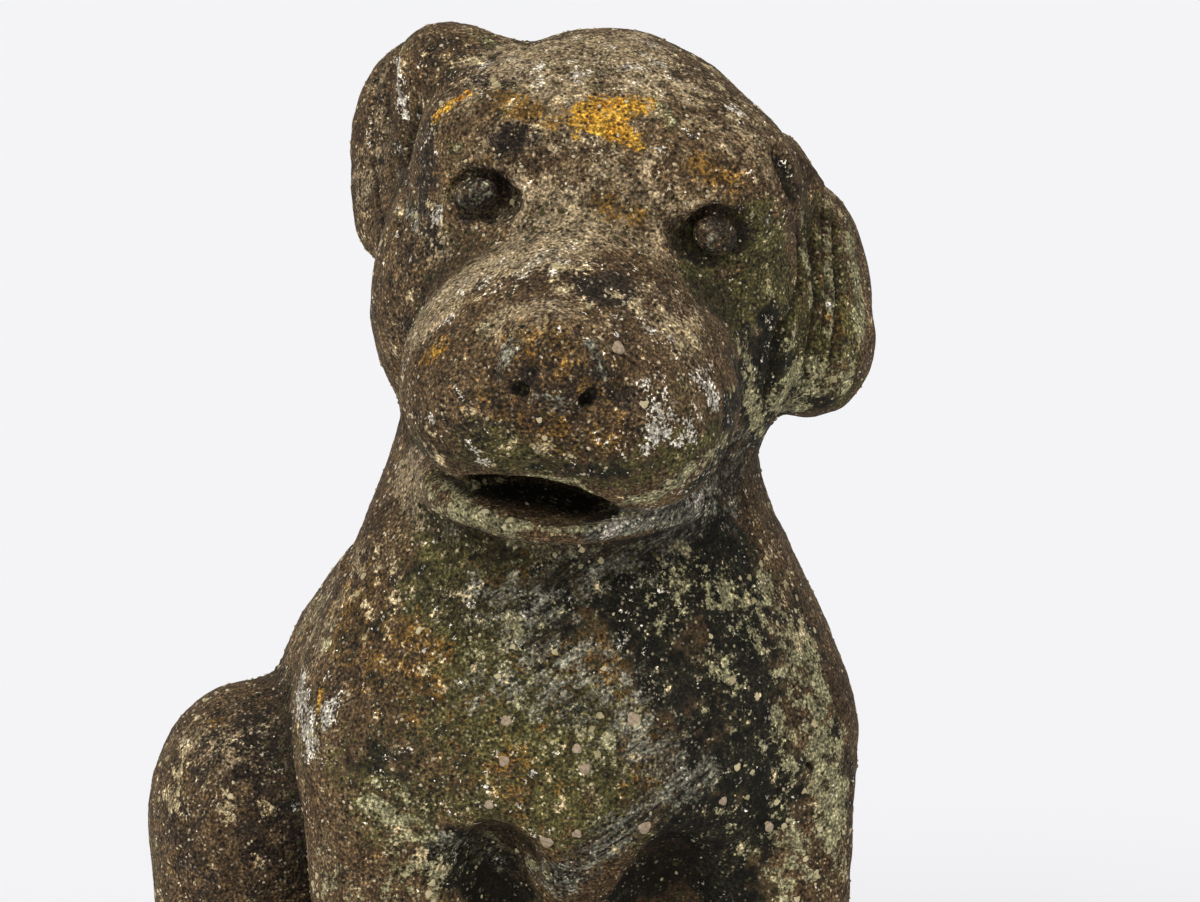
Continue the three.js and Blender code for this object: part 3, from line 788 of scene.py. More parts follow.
# The usual weight, how much more of it where the surface faces up, and how far it wanders
HIDDEN = {
    "sand": (0.24, 0.24, 0.26), "ochre": (0.12, 0.02, 0.24), "moss": (0.34, -0.06, 0.26),
    "slate": (-0.05, -0.15, 0.30), "algae_and_shade": (0.20, -0.24, 0.42), "soot_and_shade": (0.18, -0.08, 0.20),
    "crust": (-0.02, 0.05, 0.42), "cream": (-0.10, 0.04, 0.18), "white": (-0.32, 0.06, 0.34),
    "gold": (-0.62, 0.12, 0.52), "hair": (0, 0, 0),
}
# On the side that shows, a little of each coat is everywhere, as scattered flecks
EVERYWHERE = {
    "sand": 0.12, "ochre": 0.10, "moss": 0.14, "slate": -0.1, "algae_and_shade": 0.02, "soot_and_shade": 0.14,
    "crust": -0.15, "cream": -0.14, "white": -0.28, "gold": -0.5, "hair": 0.0,
}

# %% Patches: a line of pixels, the radius in mm and the strength
PATCHES = {
    "sand": [
        ([(540, 50), (630, 55)], 32, 0.85), ([(470, 110), (510, 60)], 14, 0.5),
        ([(560, 110), (645, 200)], 30, 0.55), ([(480, 110), (540, 200)], 20, 0.4),
        ([(680, 80), (720, 130)], 24, 0.55), ([(425, 315), (470, 272), (560, 240)], 18, 1.1),
        ([(500, 215), (640, 235)], 14, 0.55), ([(500, 320), (560, 310)], 12, 0.7),
        ([(640, 300), (690, 330)], 16, 0.62), ([(560, 330), (640, 330)], 12, 0.4),
        ([(200, 745), (240, 740)], 20, 0.6), ([(420, 225), (440, 260)], 10, 0.6),
        ([(360, 560), (310, 660)], 12, 0.55), ([(405, 470), (445, 545)], 12, 1.05),
        ([(380, 90), (365, 200)], 12, 0.4),
    ],
    "ochre": [
        ([(505, 105), (548, 118)], 10, 0.72), ([(485, 155)], 6, 0.7), ([(470, 182)], 4, 0.7),
        ([(700, 165), (728, 183)], 7, 0.56), ([(820, 200), (845, 340)], 14, 0.4),
        ([(740, 260), (770, 300)], 14, 0.4), ([(608, 203), (635, 212)], 8, 0.6),
        ([(425, 360), (442, 345)], 5, 0.8), ([(500, 420), (600, 430)], 16, 0.42),
        ([(555, 430), (560, 450)], 6, 0.6), ([(450, 610), (540, 680)], 30, 0.64),
        ([(520, 575), (620, 640)], 20, 0.62), ([(560, 690), (640, 745)], 24, 0.6),
        ([(470, 700), (550, 760)], 24, 0.6), ([(350, 600), (400, 700)], 20, 0.46),
        ([(600, 640), (680, 690)], 30, 0.32), ([(500, 780), (600, 800)], 30, 0.36),
        ([(213, 722)], 6, 0.66), ([(520, 340), (600, 380)], 12, 0.5),
    ],
    "moss": [
        ([(750, 240), (790, 330)], 20, 1.1), ([(790, 360), (840, 400)], 16, 0.8),
        ([(700, 270), (745, 320)], 12, 0.8), ([(805, 220), (815, 330)], 10, 0.8),
        ([(470, 490), (440, 470)], 8, 0.6), ([(440, 570), (500, 640)], 26, 0.85),
        ([(480, 560), (620, 565)], 12, 0.7), ([(520, 690), (600, 790)], 34, 0.8),
        ([(440, 700), (480, 800)], 26, 0.62), ([(360, 760), (420, 860)], 24, 0.5),
        ([(480, 440), (600, 465)], 11, 0.66), ([(430, 450), (520, 465), (700, 450)], 12, 0.62),
        ([(690, 250), (740, 290)], 10, 0.55), ([(820, 220), (850, 340)], 14, 0.6),
        ([(600, 480), (720, 440)], 8, 0.6),
    ],
    "slate": [
        ([(560, 575), (640, 560), (715, 500)], 12, 0.66), ([(600, 530), (700, 502)], 9, 1.3),
        ([(700, 495), (740, 440)], 9, 0.75), ([(735, 480), (730, 520)], 7, 0.7),
        ([(520, 610), (600, 690)], 22, 0.56), ([(490, 590), (560, 590)], 14, 0.5),
        ([(480, 690), (560, 700)], 14, 0.5), ([(560, 885), (620, 830), (700, 772)], 12, 0.72),
        ([(600, 700), (660, 760)], 18, 0.55), ([(440, 840), (540, 870)], 9, 0.45),
        ([(515, 352), (500, 372)], 4, 0.6), ([(590, 345), (602, 372)], 4.5, 0.7),
        ([(545, 398), (570, 406)], 6, 0.65), ([(462, 196), (484, 193)], 6, 0.66), ([(712, 238)], 7, 0.4),
        ([(505, 352), (515, 342)], 5, 0.55), ([(400, 150), (415, 225)], 7, 0.5),
        ([(745, 440), (735, 480)], 6, 0.6),
    ],
    "algae_and_shade": [
        # Painted shade: the first patch blackens the open mouth; the second, and both on the next line,
        # darken the fold of the left ear and its gap to the cheek
        ([(490, 490), (530, 495), (590, 508)], 9, 1.2), ([(750, 330), (758, 390)], 9, 0.6),
        ([(782, 160), (796, 195)], 6, 0.5), ([(772, 335), (770, 395)], 10, 0.72),
        ([(690, 520), (740, 640), (750, 800)], 30, 0.95), ([(640, 590), (700, 740)], 22, 0.8),
        # Painted shade: both patches on this line and the first on the next darken the hollows under the
        # chest, between the forelegs
        ([(690, 830), (740, 900)], 24, 0.9), ([(450, 850), (520, 905)], 15, 1.0),
        ([(610, 900), (670, 870)], 13, 0.9), ([(800, 620), (845, 800)], 22, 0.55),
        ([(490, 570), (560, 600)], 14, 0.35), ([(430, 700), (450, 760)], 16, 0.24),
        ([(560, 600), (640, 610)], 16, 0.66), ([(370, 600), (420, 560)], 14, 0.3),
        ([(410, 440), (470, 470)], 10, 0.42), ([(540, 468), (640, 472)], 9, 0.55),
        ([(780, 410), (830, 402)], 6, 0.75), ([(705, 430), (740, 400)], 9, 0.6),
        # Painted shade: both patches on this line darken the gap between the left ear and the cheek
        ([(775, 325), (800, 400)], 10, 0.92), ([(738, 372), (766, 440)], 13, 0.85),
        ([(700, 480), (750, 420)], 9, 0.66), ([(690, 290), (720, 300)], 9, 0.45),
        ([(400, 640), (430, 760)], 24, 0.2), ([(360, 640), (380, 760)], 20, 0.3),
    ],
    "soot_and_shade": [
        ([(592, 286), (618, 288)], 9, 1.25), ([(502, 142), (530, 138)], 8, 0.85),
        ([(435, 50), (485, 75)], 14, 0.5), ([(470, 210), (497, 190), (480, 178)], 8, 0.75),
        # Painted shade: the last patch on this line and the first on the next darken the nostrils, and the
        # third on the next darkens the small hole by the left eye
        ([(700, 255), (740, 240), (710, 212)], 8, 0.7), ([(518, 388), (534, 372)], 4.5, 1.2),
        ([(588, 396)], 5.5, 1.3), ([(520, 355), (590, 390)], 15, 0.5), ([(740, 208)], 2.5, 0.9),
        ([(712, 237)], 8, 0.6), ([(455, 400), (470, 440)], 14, 0.42), ([(400, 260), (410, 330)], 16, 0.4),
        ([(610, 380), (640, 420)], 9, 0.5), ([(380, 70), (378, 230)], 7, 0.45),
        ([(425, 130), (425, 240)], 10, 0.72), ([(340, 620), (420, 780)], 30, 0.34),
        ([(500, 400), (600, 440)], 14, 0.42), ([(250, 720), (285, 860)], 24, 0.66),
        ([(170, 800), (200, 880)], 18, 0.55), ([(200, 770), (240, 800)], 16, 0.5),
        ([(470, 600), (560, 640)], 18, 0.45),
    ],
    "crust": [
        ([(800, 640), (822, 720), (838, 860)], 15, 0.74), ([(785, 700), (795, 880)], 15, 0.5),
        ([(680, 600), (760, 800)], 28, 0.12), ([(520, 650), (620, 760)], 32, 0.22),
        ([(430, 490), (450, 530)], 8, 0.6), ([(448, 484), (490, 520), (560, 532), (640, 514)], 2.6, 0.9),
        ([(470, 486), (530, 475), (575, 482), (612, 508)], 3, 1.0),
        ([(612, 508), (670, 490), (725, 440)], 3, 0.9), ([(460, 515), (540, 550), (610, 550)], 8, 0.72),
        ([(650, 500), (720, 455)], 8, 0.62), ([(560, 555), (520, 560)], 10, 0.45),
        ([(795, 378), (840, 385)], 12, 0.72), ([(742, 345), (762, 440)], 7, 0.56),
        ([(775, 400), (800, 408)], 6, 0.8), ([(852, 240), (862, 330)], 6, 0.8),
        ([(828, 230), (832, 330)], 5, 0.8), ([(800, 210), (812, 300)], 5, 0.7),
        ([(330, 880), (410, 890)], 20, 0.4), ([(380, 800), (430, 870)], 12, 0.4),
        ([(483, 833), (546, 873)], 4, 0.66), ([(760, 570), (790, 640)], 8, 0.6),
        ([(300, 560), (330, 640)], 12, 0.4), ([(640, 545), (600, 552)], 3.5, 0.6),
        ([(770, 280), (790, 340)], 9, 0.3), ([(690, 560), (760, 620)], 16, 0.3),
    ],
    "cream": [
        ([(420, 420), (440, 470)], 8, 0.4), ([(520, 430), (560, 460)], 9, 0.42),
        ([(430, 210), (440, 225)], 5, 0.6), ([(560, 270), (600, 290)], 10, 0.35),
        ([(700, 60), (740, 115)], 9, 0.36), ([(380, 580), (480, 660)], 26, 0.16),
        ([(480, 760), (640, 820)], 30, 0.06), ([(178, 750), (172, 800)], 11, 0.66),
        ([(230, 810), (260, 840)], 14, 0.3), ([(640, 300), (690, 350)], 9, 0.26),
        ([(800, 130), (830, 200)], 9, 0.5), ([(340, 560), (310, 640)], 10, 0.3),
        ([(450, 60), (640, 60)], 30, 0.06), ([(780, 560), (800, 640)], 12, 0.25),
        ([(420, 860), (440, 890)], 7, 0.5),
    ],
    "white": [
        ([(398, 62), (403, 112)], 4.5, 0.75), ([(398, 145)], 3, 0.7),
        ([(438, 210), (434, 222)], 3.5, 0.75), ([(735, 108)], 6, 0.5), ([(300, 685), (308, 745)], 9, 0.8),
        ([(325, 715), (338, 700)], 6, 0.75), ([(765, 222)], 2.5, 0.7), ([(652, 392), (672, 430)], 9, 0.5),
        ([(640, 436), (690, 430)], 9, 0.44), ([(700, 378), (716, 402)], 6, 0.72),
        ([(470, 445), (480, 460)], 4, 0.5), ([(432, 420)], 3, 0.6), ([(640, 330), (700, 360)], 12, 0.12),
        ([(610, 528), (700, 495)], 8, 0.36), ([(560, 70), (640, 55)], 24, 0.1),
        ([(470, 290), (560, 260)], 16, 0.12),
    ],
    "gold": [
        ([(578, 120), (596, 104), (638, 104)], 8, 0.95), ([(600, 124), (630, 140)], 7.5, 0.95),
        ([(574, 134)], 4, 0.8), ([(615, 112)], 6, 0.9), ([(436, 118), (452, 104), (468, 94)], 4, 0.95),
        ([(322, 690), (319, 712)], 2.6, 0.8), ([(535, 352)], 2.2, 0.7),
        ([(432, 358), (440, 350)], 2.4, 0.65), ([(585, 200)], 3, 0.4), ([(700, 178)], 3, 0.4),
    ],
    "hair": [
        ([(805, 190), (826, 260), (828, 330), (810, 385)], 14, 1.0), ([(850, 240), (860, 340)], 8, 0.7),
        ([(366, 80), (362, 150), (375, 230)], 8, 0.9),
    ],
}
# Below one, so that a patch keeps most of its strength nearly to its edge
PATCH_FALL = 0.6
for seed, (pigment, patches) in enumerate(PATCHES.items()):
    usual, upward, wander = HIDDEN[pigment]
    weight = (usual + upward * up + wander * drift(seed)) * (1 - seen) + EVERYWHERE[pigment] * seen
    for line, radius, strength in patches:
        near = closeness(places, line, radius) ** PATCH_FALL
        weight = np.maximum(weight, weight * (1 - near) + strength * near)
    attribute = stone.data.attributes.new(pigment, "FLOAT", "POINT")
    attribute.data.foreach_set("value", weight.astype(np.float32))
attribute = stone.data.attributes.new("hollow", "FLOAT", "POINT")
attribute.data.foreach_set("value", hollow.astype(np.float32))
print("patches:", {pigment: len(patches) for pigment, patches in PATCHES.items()})

# %% [markdown]
# ## Weathered cast stone
# The real thing is sand and cement cast in a mould, then weathered: the cement skin is gone, so
# grains of 0.5 to 1.5 mm stand out with dark pits between them. It is matt all over, and gives the
# eye a gritty skin without any shine. On it lie thin coats: rust-coloured stains, green moss,
# blue-grey and black algae, and cream and golden lichens. The material is built the same way, coat
# upon coat, each with ragged edges, from one broad, one middle and one fine noise that they share.

# %% Colours and the noises
def linear(code):
    """An sRGB hex colour as the linear colour that a node takes."""
    parts = [int(code[k:k + 2], 16) / 255 for k in (1, 3, 5)]
    return [c / 12.92 if c <= 0.04045 else ((c + 0.055) / 1.055) ** 2.4 for c in parts] + [1]


def scale_of(millimetres):
    """A texture's scale for features of this size."""
    return 1 / (millimetres * MM)


material = bpy.data.materials.new("weathered_cast_stone")
material.use_nodes = True
shading = material.node_tree
shading.nodes.clear()
object_place = add_node(shading, "ShaderNodeTexCoord").outputs["Object"]
noises = {}
# Nearly all of a noise lies between these two, which are spread over zero to one
NOISE_LOW, NOISE_HIGH = 0.3, 0.7
# Name, size in mm, detail and roughness
NOISES = (("broad", 26, 7, 0.7), ("middle", 6, 5, 0.68), ("fine", 1.0, 2, 0.6))
for name, size, detail, roughness in NOISES:
    texture = add_node(shading, "ShaderNodeTexNoise",
                       {"Vector": object_place, "Scale": scale_of(size), "Detail": detail,
                        "Roughness": roughness})
    channels = add_node(shading, "ShaderNodeSeparateColor", {0: texture.outputs["Color"]})
    noises[name] = {}
    for channel in ("Red", "Green", "Blue"):
        usual = {"Value": channels.outputs[channel], "From Min": NOISE_LOW, "From Max": NOISE_HIGH}
        noises[name][channel] = add_node(shading, "ShaderNodeMapRange", usual, clamp=False)
print("sand #c2ac88 is linear", [round(part, 3) for part in linear("#c2ac88")])


# %% A coat: two tones behind a ragged edge
def ragged(weight, pushes, softness):
    """A mask that is one where the weight plus the noises passes a half."""
    centre = 0.5  # the noises' own middles are added below
    for noise, spread in pushes:
        weight = add_node(shading, "ShaderNodeMath", {0: noise, 1: spread, 2: weight},
                          operation="MULTIPLY_ADD")
        centre += spread / 2
    return add_node(shading, "ShaderNodeMapRange",
                    {"Value": weight, "From Min": centre - softness, "From Max": centre + softness},
                    interpolation_type="SMOOTHSTEP")


def coated(under, dark, light, tone, mask):
    """What lies under, with a coat that wanders between two tones laid over it behind a mask."""
    tones = add_node(shading, "ShaderNodeMix", {"Factor": tone, "A": linear(dark), "B": linear(light)},
                     data_type="RGBA").outputs["Result"]
    return add_node(shading, "ShaderNodeMix", {"Factor": mask, "A": under, "B": tones},
                    data_type="RGBA").outputs["Result"]


weights = {
    name: add_node(shading, "ShaderNodeAttribute", attribute_name=name).outputs["Fac"]
    for name in [*PATCHES, "hollow"]
}
print("weights that the material reads:", len(weights))

# %% [markdown]
# The bare stone is grey-brown cement and sand. Over it go the coats, in the order in which they came:
# brighter washed sand on what faces the rain, rust stains, moss, soot, black algae, then the pale growths.
# The soot and the black algae also carry painted shade: in the open mouth, the nostrils and a small hole,
# the gap between the left ear and the cheek, and the hollows under the chest. Slate-grey algae lie in
# brushed strokes, as where water runs or a brush once went, so their tone comes from a noise that is drawn
# out along one direction.

# %% The bare stone, then the coats from the lowest to the highest
STROKE_SLANT, STROKE_LENGTH, STROKE_WIDTH = -33, 26, 2.4


def brushed(turn_about_y, length, width):
    """A noise drawn out along one direction, as strokes are."""
    turned = add_node(shading, "ShaderNodeMapping",
                      {"Vector": object_place, "Rotation": (0, math.radians(turn_about_y), 0)},
                      vector_type="TEXTURE")
    scales = (scale_of(length), scale_of(width), scale_of(width))
    drawn = add_node(shading, "ShaderNodeMapping", {"Vector": turned, "Scale": scales})
    noise = add_node(shading, "ShaderNodeTexNoise",
                     {"Vector": drawn, "Scale": 1.0, "Detail": 4.0, "Roughness": 0.65})
    return add_node(shading, "ShaderNodeMapRange", {"Value": noise, "From Min": 0.4, "From Max": 0.6},
                    clamp=False)


strokes = brushed(STROKE_SLANT, STROKE_LENGTH, STROKE_WIDTH)
HAIR_SLANT, HAIR_LENGTH, HAIR_WIDTH = 86, 45, 3
hair = brushed(HAIR_SLANT, HAIR_LENGTH, HAIR_WIDTH)
broad, middle, fine = noises["broad"], noises["middle"], noises["fine"]

bare_tones = {"Factor": broad["Blue"], "A": linear("#3e2d1c"), "B": linear("#7d6546")}
colour = add_node(shading, "ShaderNodeMix", bare_tones, data_type="RGBA").outputs["Result"]
# Name, dark tone, light tone, what moves the tone, then what makes the edge ragged: the colour of
# the noises, how far the broad, the middle and the fine one push it, and its softness
COATS = [
    ("sand", "#796546", "#c2ac88", middle["Green"], "Red", (0.8, 0.5, 0.4), 0.16),
    ("ochre", "#5c421f", "#96702f", middle["Red"], "Green", (0.5, 0.9, 0.5), 0.22),
    ("moss", "#2b2917", "#736a3c", middle["Blue"], "Blue", (0.9, 0.8, 0.4), 0.18),
    # Soot, and painted shade in the nostrils and a small hole
    ("soot_and_shade", "#1e1810", "#4a3d30", middle["Green"], "Blue", (0.4, 0.8, 0.5), 0.18),
    # Black algae, and painted shade in the mouth, by the left ear and under the chest
    ("algae_and_shade", "#0f0e08", "#312e1f", middle["Red"], "Green", (0.9, 0.8, 0.4), 0.13),
    ("slate", "#2a281e", "#95917d", strokes, "Red", (0.4, 1.0, 0.6), 0.24),
    ("crust", "#716c49", "#b3aa82", middle["Blue"], "Blue", (0.9, 1.1, 0.4), 0.07),
    ("cream", "#7d6a48", "#b9a67f", middle["Red"], "Red", (0.3, 1.5, 0.3), 0.08),
    ("white", "#93866f", "#dbd4c6", middle["Red"], "Green", (0.3, 1.7, 0.7), 0.10),
    ("gold", "#9c611a", "#e6b544", middle["Green"], "Blue", (0.2, 1.1, 0.6), 0.09),
]
for name, dark, light, tone, channel, spreads, softness in COATS:
    pushes = [(noise[channel], spread) for noise, spread in zip((broad, middle, fine), spreads)]
    colour = coated(colour, dark, light, tone, ragged(weights[name], pushes, softness))
print("coats, from the lowest:", [name for name, *_ in COATS])

# %% Grains and pores over everything, with painted shade in the pores and in small hollows
# Real grains are 0.5 to 1.5 mm. They are drawn at the upper end of that, so that they show.
GRAIN_SIZE, PORE_SPACING = 1.5, 2.1


def spots(spacing, size, share, seed):
    """Round spots of a size in mm, in the given share of cells that are one spacing wide."""
    shifted = add_node(shading, "ShaderNodeVectorMath", {0: object_place, 1: (seed, seed, seed)})
    cells = add_node(shading, "ShaderNodeTexVoronoi", {"Vector": shifted, "Scale": scale_of(spacing)})
    edge = size / spacing
    near = add_node(shading, "ShaderNodeMapRange",
                    {"Value": cells.outputs["Distance"], "From Min": edge, "From Max": 0.4 * edge})
    chance = add_node(shading, "ShaderNodeSeparateColor", {0: cells.outputs["Color"]}).outputs["Red"]
    chosen = add_node(shading, "ShaderNodeMath", {0: chance, 1: share}, operation="LESS_THAN")
    return add_node(shading, "ShaderNodeMath", {0: near, 1: chosen}, operation="MULTIPLY")


def swing(noise, strength, total=0.0):
    """Adds a noise around nought to a total, with a strength."""
    centred = add_node(shading, "ShaderNodeMath", {0: noise, 1: 0.5}, operation="SUBTRACT")
    return add_node(shading, "ShaderNodeMath", {0: centred, 1: strength, 2: total},
                    operation="MULTIPLY_ADD")


power = swing(fine["Green"], 2.5, swing(middle["Red"], 1.1, swing(broad["Green"], 0.6)))
factor = add_node(shading, "ShaderNodeMath", {0: math.e, 1: power}, operation="POWER")
OVERALL = 0.76
factor = add_node(shading, "ShaderNodeMath", {0: factor, 1: OVERALL}, operation="MULTIPLY")
colour = add_node(shading, "ShaderNodeVectorMath", {0: colour, "Scale": factor}, operation="SCALE")
# Pores are small pits: the near-black mixed into them below is painted shade
pores = spots(PORE_SPACING, size=0.85, share=0.5, seed=0.3)
grains = spots(GRAIN_SIZE, size=0.6, share=0.16, seed=0.7)
# Painted shade: the stone darkens towards near black in small hollows
painted_hollow_shade = add_node(shading, "ShaderNodeMapRange",
                     {"Value": weights["hollow"], "From Min": 0.5, "From Max": 1.0, "To Max": 0.65})
for colour_code, mask, strength in (("#cdbf9f", grains, 0.5), ("#150f09", pores, 0.85),
                                    ("#1a140c", painted_hollow_shade, 1.0)):
    faint = add_node(shading, "ShaderNodeMath", {0: mask, 1: strength}, operation="MULTIPLY")
    colour = add_node(shading, "ShaderNodeMix", {"Factor": faint, "A": colour, "B": linear(colour_code)},
                      data_type="RGBA").outputs["Result"]
print("grains of", GRAIN_SIZE, "mm and pores", PORE_SPACING, "mm apart")

# %% Relief too small for the mesh, and the shader
bumps = swing(fine["Green"], 0.5, swing(middle["Green"], 0.8))
combed = bumps
for lines, weight in ((hair, "hair"), (strokes, "slate")):
    combed = add_node(shading, "ShaderNodeMath", {0: swing(lines, 1.1), 1: weights[weight], 2: combed},
                      operation="MULTIPLY_ADD")
pitted = add_node(shading, "ShaderNodeMath", {0: pores, 1: -0.8, 2: combed}, operation="MULTIPLY_ADD")
relief = add_node(shading, "ShaderNodeBump", {"Height": pitted, "Strength": 0.8, "Distance": 1.1 * MM})
stone_shader = add_node(shading, "ShaderNodeBsdfPrincipled",
                        {"Base Color": colour, "Roughness": 0.92, "Specular IOR Level": 0.25,
                         "Normal": relief})
add_node(shading, "ShaderNodeOutputMaterial", {"Surface": stone_shader})
stone.data.materials.clear()
stone.data.materials.append(material)
print("the stone's material has", len(shading.nodes), "nodes")


# %% [markdown]
# ## Grains, crumbs and crusts
# Close to, the skin is not just coloured: sand grains stand out of it, moss sits in the hollows as dark
# crumbs, which are painted shade there as well, and lichens lie on it as thin lobed crusts. Each repeats
# thousands of times by one rule, so one Geometry Nodes tree scatters a small shape over the stone. A weight
# on the stone's points says how thickly, and the seed is fixed. Each kind is then made one plain mesh.

# %% Small shapes with a few faces each
def small_shape(name, points, faces):
    """A shape that is in no collection, so that only its copies show."""
    shape = new_object(name, points, faces)
    bpy.context.scene.collection.objects.unlink(shape)
    return shape


def pebble(name, seed):
    """An uneven ball of twenty faces, one unit across the middle."""
    made = bmesh.new()
    bmesh.ops.create_icosphere(made, subdivisions=1, radius=1.0)
    chance = np.random.default_rng(seed)
    points = [np.array(v.co) * chance.uniform(0.7, 1.15) * (1, 0.8, 0.6) for v in made.verts]
    faces = [[v.index for v in face.verts] for face in made.faces]
    made.free()
    return small_shape(name, points, faces)


def lobed_disc(name, lobes, seed):
    """A thin closed crust with an uneven rim that is let into the stone."""
    chance = np.random.default_rng(seed)
    turns = np.arange(lobes) * 2 * math.pi / lobes
    reach = chance.uniform(0.5, 1.25, lobes)
    sunk, shoulder, crown = -0.22, 0.12, 0.17
    rim = np.stack([np.cos(turns) * reach, np.sin(turns) * reach, np.full(lobes, sunk)], 1)
    top = rim * (0.78, 0.78, 0) + (0, 0, shoulder)
    points = np.concatenate([rim, top, [(0, 0, crown), (0, 0, sunk)]])
    faces = []
    for i in range(lobes):
        k = (i + 1) % lobes
        faces += [(i, k, lobes + k), (i, lobes + k, lobes + i)]
        faces += [(lobes + i, lobes + k, 2 * lobes), (k, i, 2 * lobes + 1)]
    return small_shape(name, points, faces)


grain_shape, crumb_shape, crust_shape = pebble("grain", 3), pebble("crumb", 9), lobed_disc("crust", 11, 5)
print("faces of a grain, a crumb and a crust:",
      [len(shape.data.polygons) for shape in (grain_shape, crumb_shape, crust_shape)])

# %% The scattering tree
SQUARE_CM_IN_METRE = 1e4
TURNS = (0.25, 0.25, 6.28)  # tilted a little in two directions, and turned any way about the normal


def scatter(name, shape, weight, per_square_cm, smallest, largest, finish, seed):
    """Strews a shape over the stone, as thickly as a weight says. Returns the whole as one piece."""
    sizes = {"Per square cm": per_square_cm, "Smallest mm": smallest, "Largest mm": largest}
    tree, sizes_in, geometry_out = new_tree(name, sizes)
    thickness = add_node(tree, "GeometryNodeInputNamedAttribute", {"Name": weight}, data_type="FLOAT")
    number = add_node(tree, "ShaderNodeMath", {0: sizes_in["Per square cm"], 1: SQUARE_CM_IN_METRE},
                      operation="MULTIPLY")
    density = add_node(tree, "ShaderNodeMath", {0: number, 1: thickness}, operation="MULTIPLY")
    strewn = add_node(tree, "GeometryNodeDistributePointsOnFaces",
                      {"Mesh": sizes_in["Geometry"], "Density": density, "Seed": seed})
    any_turn = add_node(tree, "FunctionNodeRandomValue",
                        {"Max": TURNS, "Seed": seed}, data_type="FLOAT_VECTOR")
    turned = add_node(tree, "FunctionNodeRotateRotation",
                      {"Rotation": strewn.outputs["Rotation"], "Rotate By": any_turn},
                      rotation_space="LOCAL")
    low, high = (add_node(tree, "ShaderNodeMath", {0: sizes_in[size], 1: MM / 2}, operation="MULTIPLY")
                 for size in ("Smallest mm", "Largest mm"))
    any_size = add_node(tree, "FunctionNodeRandomValue", {2: low, 3: high, "Seed": seed + 1})
    object_info = add_node(tree, "GeometryNodeObjectInfo", {"Object": shape})
    placed = add_node(tree, "GeometryNodeInstanceOnPoints",
                      {"Points": strewn.outputs["Points"], "Instance": object_info.outputs["Geometry"],
                       "Rotation": turned, "Scale": any_size.outputs[1]})
    any_tone = add_node(tree, "FunctionNodeRandomValue", {"Seed": seed + 2})
    toned = add_node(tree, "GeometryNodeStoreNamedAttribute",
                     {"Geometry": placed, "Name": "tone", "Value": any_tone.outputs[1]},
                     domain="INSTANCE", data_type="FLOAT")
    whole = add_node(tree, "GeometryNodeRealizeInstances", {"Geometry": toned})
    finished = add_node(tree, "GeometryNodeSetMaterial", {"Geometry": whole, "Material": finish})
    tree.links.new(finished.outputs[0], geometry_out["Geometry"])
    piece = bpy.data.objects.new(name, apply_tree(stone, tree, sizes))
    piece.data.name = name
    bpy.context.scene.collection.objects.link(piece)
    print(name, len(piece.data.vertices) // len(shape.data.vertices), "of them,",
          sum(len(p.vertices) - 2 for p in piece.data.polygons), "triangles")
    return piece


print("a piece tilts by up to", round(math.degrees(TURNS[0])), "degrees")

# %% [markdown]
# Grains and growths are all matt. What tells them apart is the tone: each piece has its own, kept as
# a number on its points, and a fine mottling moves it a little more.

# %% Their finishes
def growth_finish(name, dark, light, mottle_size):
    """A matt finish whose pieces differ in tone, each mottled finely. Returns the material."""
    made = bpy.data.materials.new(name)
    made.use_nodes = True
    tree = made.node_tree
    tree.nodes.clear()
    place = add_node(tree, "ShaderNodeTexCoord").outputs["Object"]
    noise = add_node(tree, "ShaderNodeTexNoise",
                     {"Vector": place, "Scale": scale_of(mottle_size), "Detail": 3.0})
    own_tone = add_node(tree, "ShaderNodeAttribute", attribute_name="tone").outputs["Fac"]
    mottled = add_node(tree, "ShaderNodeMath", {0: noise, 1: 1.4, 2: own_tone}, operation="MULTIPLY_ADD")
    share = add_node(tree, "ShaderNodeMath", {0: mottled, 1: 0.5}, operation="SUBTRACT")
    blend = add_node(tree, "ShaderNodeMix", {"Factor": share, "A": linear(dark), "B": linear(light)},
                     data_type="RGBA").outputs["Result"]
    bump = add_node(tree, "ShaderNodeBump", {"Height": noise, "Strength": 0.6, "Distance": 0.5 * MM})
    shader = add_node(tree, "ShaderNodeBsdfPrincipled",
                      {"Base Color": blend, "Roughness": 0.9, "Specular IOR Level": 0.25, "Normal": bump})
    add_node(tree, "ShaderNodeOutputMaterial", {"Surface": shader})
    return made


# Quartz sand from a river, worn round: each grain a slightly different brown, which looks gritty
GRAINS = growth_finish("quartz_sand_grains", "#4a3a28", "#c9b998", 1.0)
# Crustose lichen, a growth as thin and dry as paint: pale olive flakes that stand out from the dark
CRUSTS = growth_finish("crustose_lichen", "#8a8058", "#c4b58f", 1.6)
# Dried cushions of moss: nearly black crumbs that lie only in small hollows, partly moss and partly painted
# shade that makes the hollows look deep and soft
MOSS_AND_SHADE_CRUMBS = growth_finish("dry_moss_and_hollow_shade", "#14140c", "#3f3d20", 0.8)
# A pinkish crustose lichen that grows in rounds, as smooth and flat as a drop of plaster
SPOT_FINISH = growth_finish("rosy_crustose_lichen", "#8f7c64", "#dcc6ad", 1.2)
print("finishes:", [finish.name for finish in (GRAINS, CRUSTS, MOSS_AND_SHADE_CRUMBS, SPOT_FINISH)])


# %% How thickly each kind lies
def read_weight(name):
    """A weight of the stone's points, held between nought and one."""
    found = np.zeros(len(places), np.float32)
    stone.data.attributes[name].data.foreach_get("value", found)
    return np.clip(found, 0, 1)


def write_weight(name, values):
    """Keeps a weight between nought and one on the stone's points."""
    attribute = stone.data.attributes.new(name, "FLOAT", "POINT")
    attribute.data.foreach_set("value", np.clip(values, 0, 1).astype(np.float32))


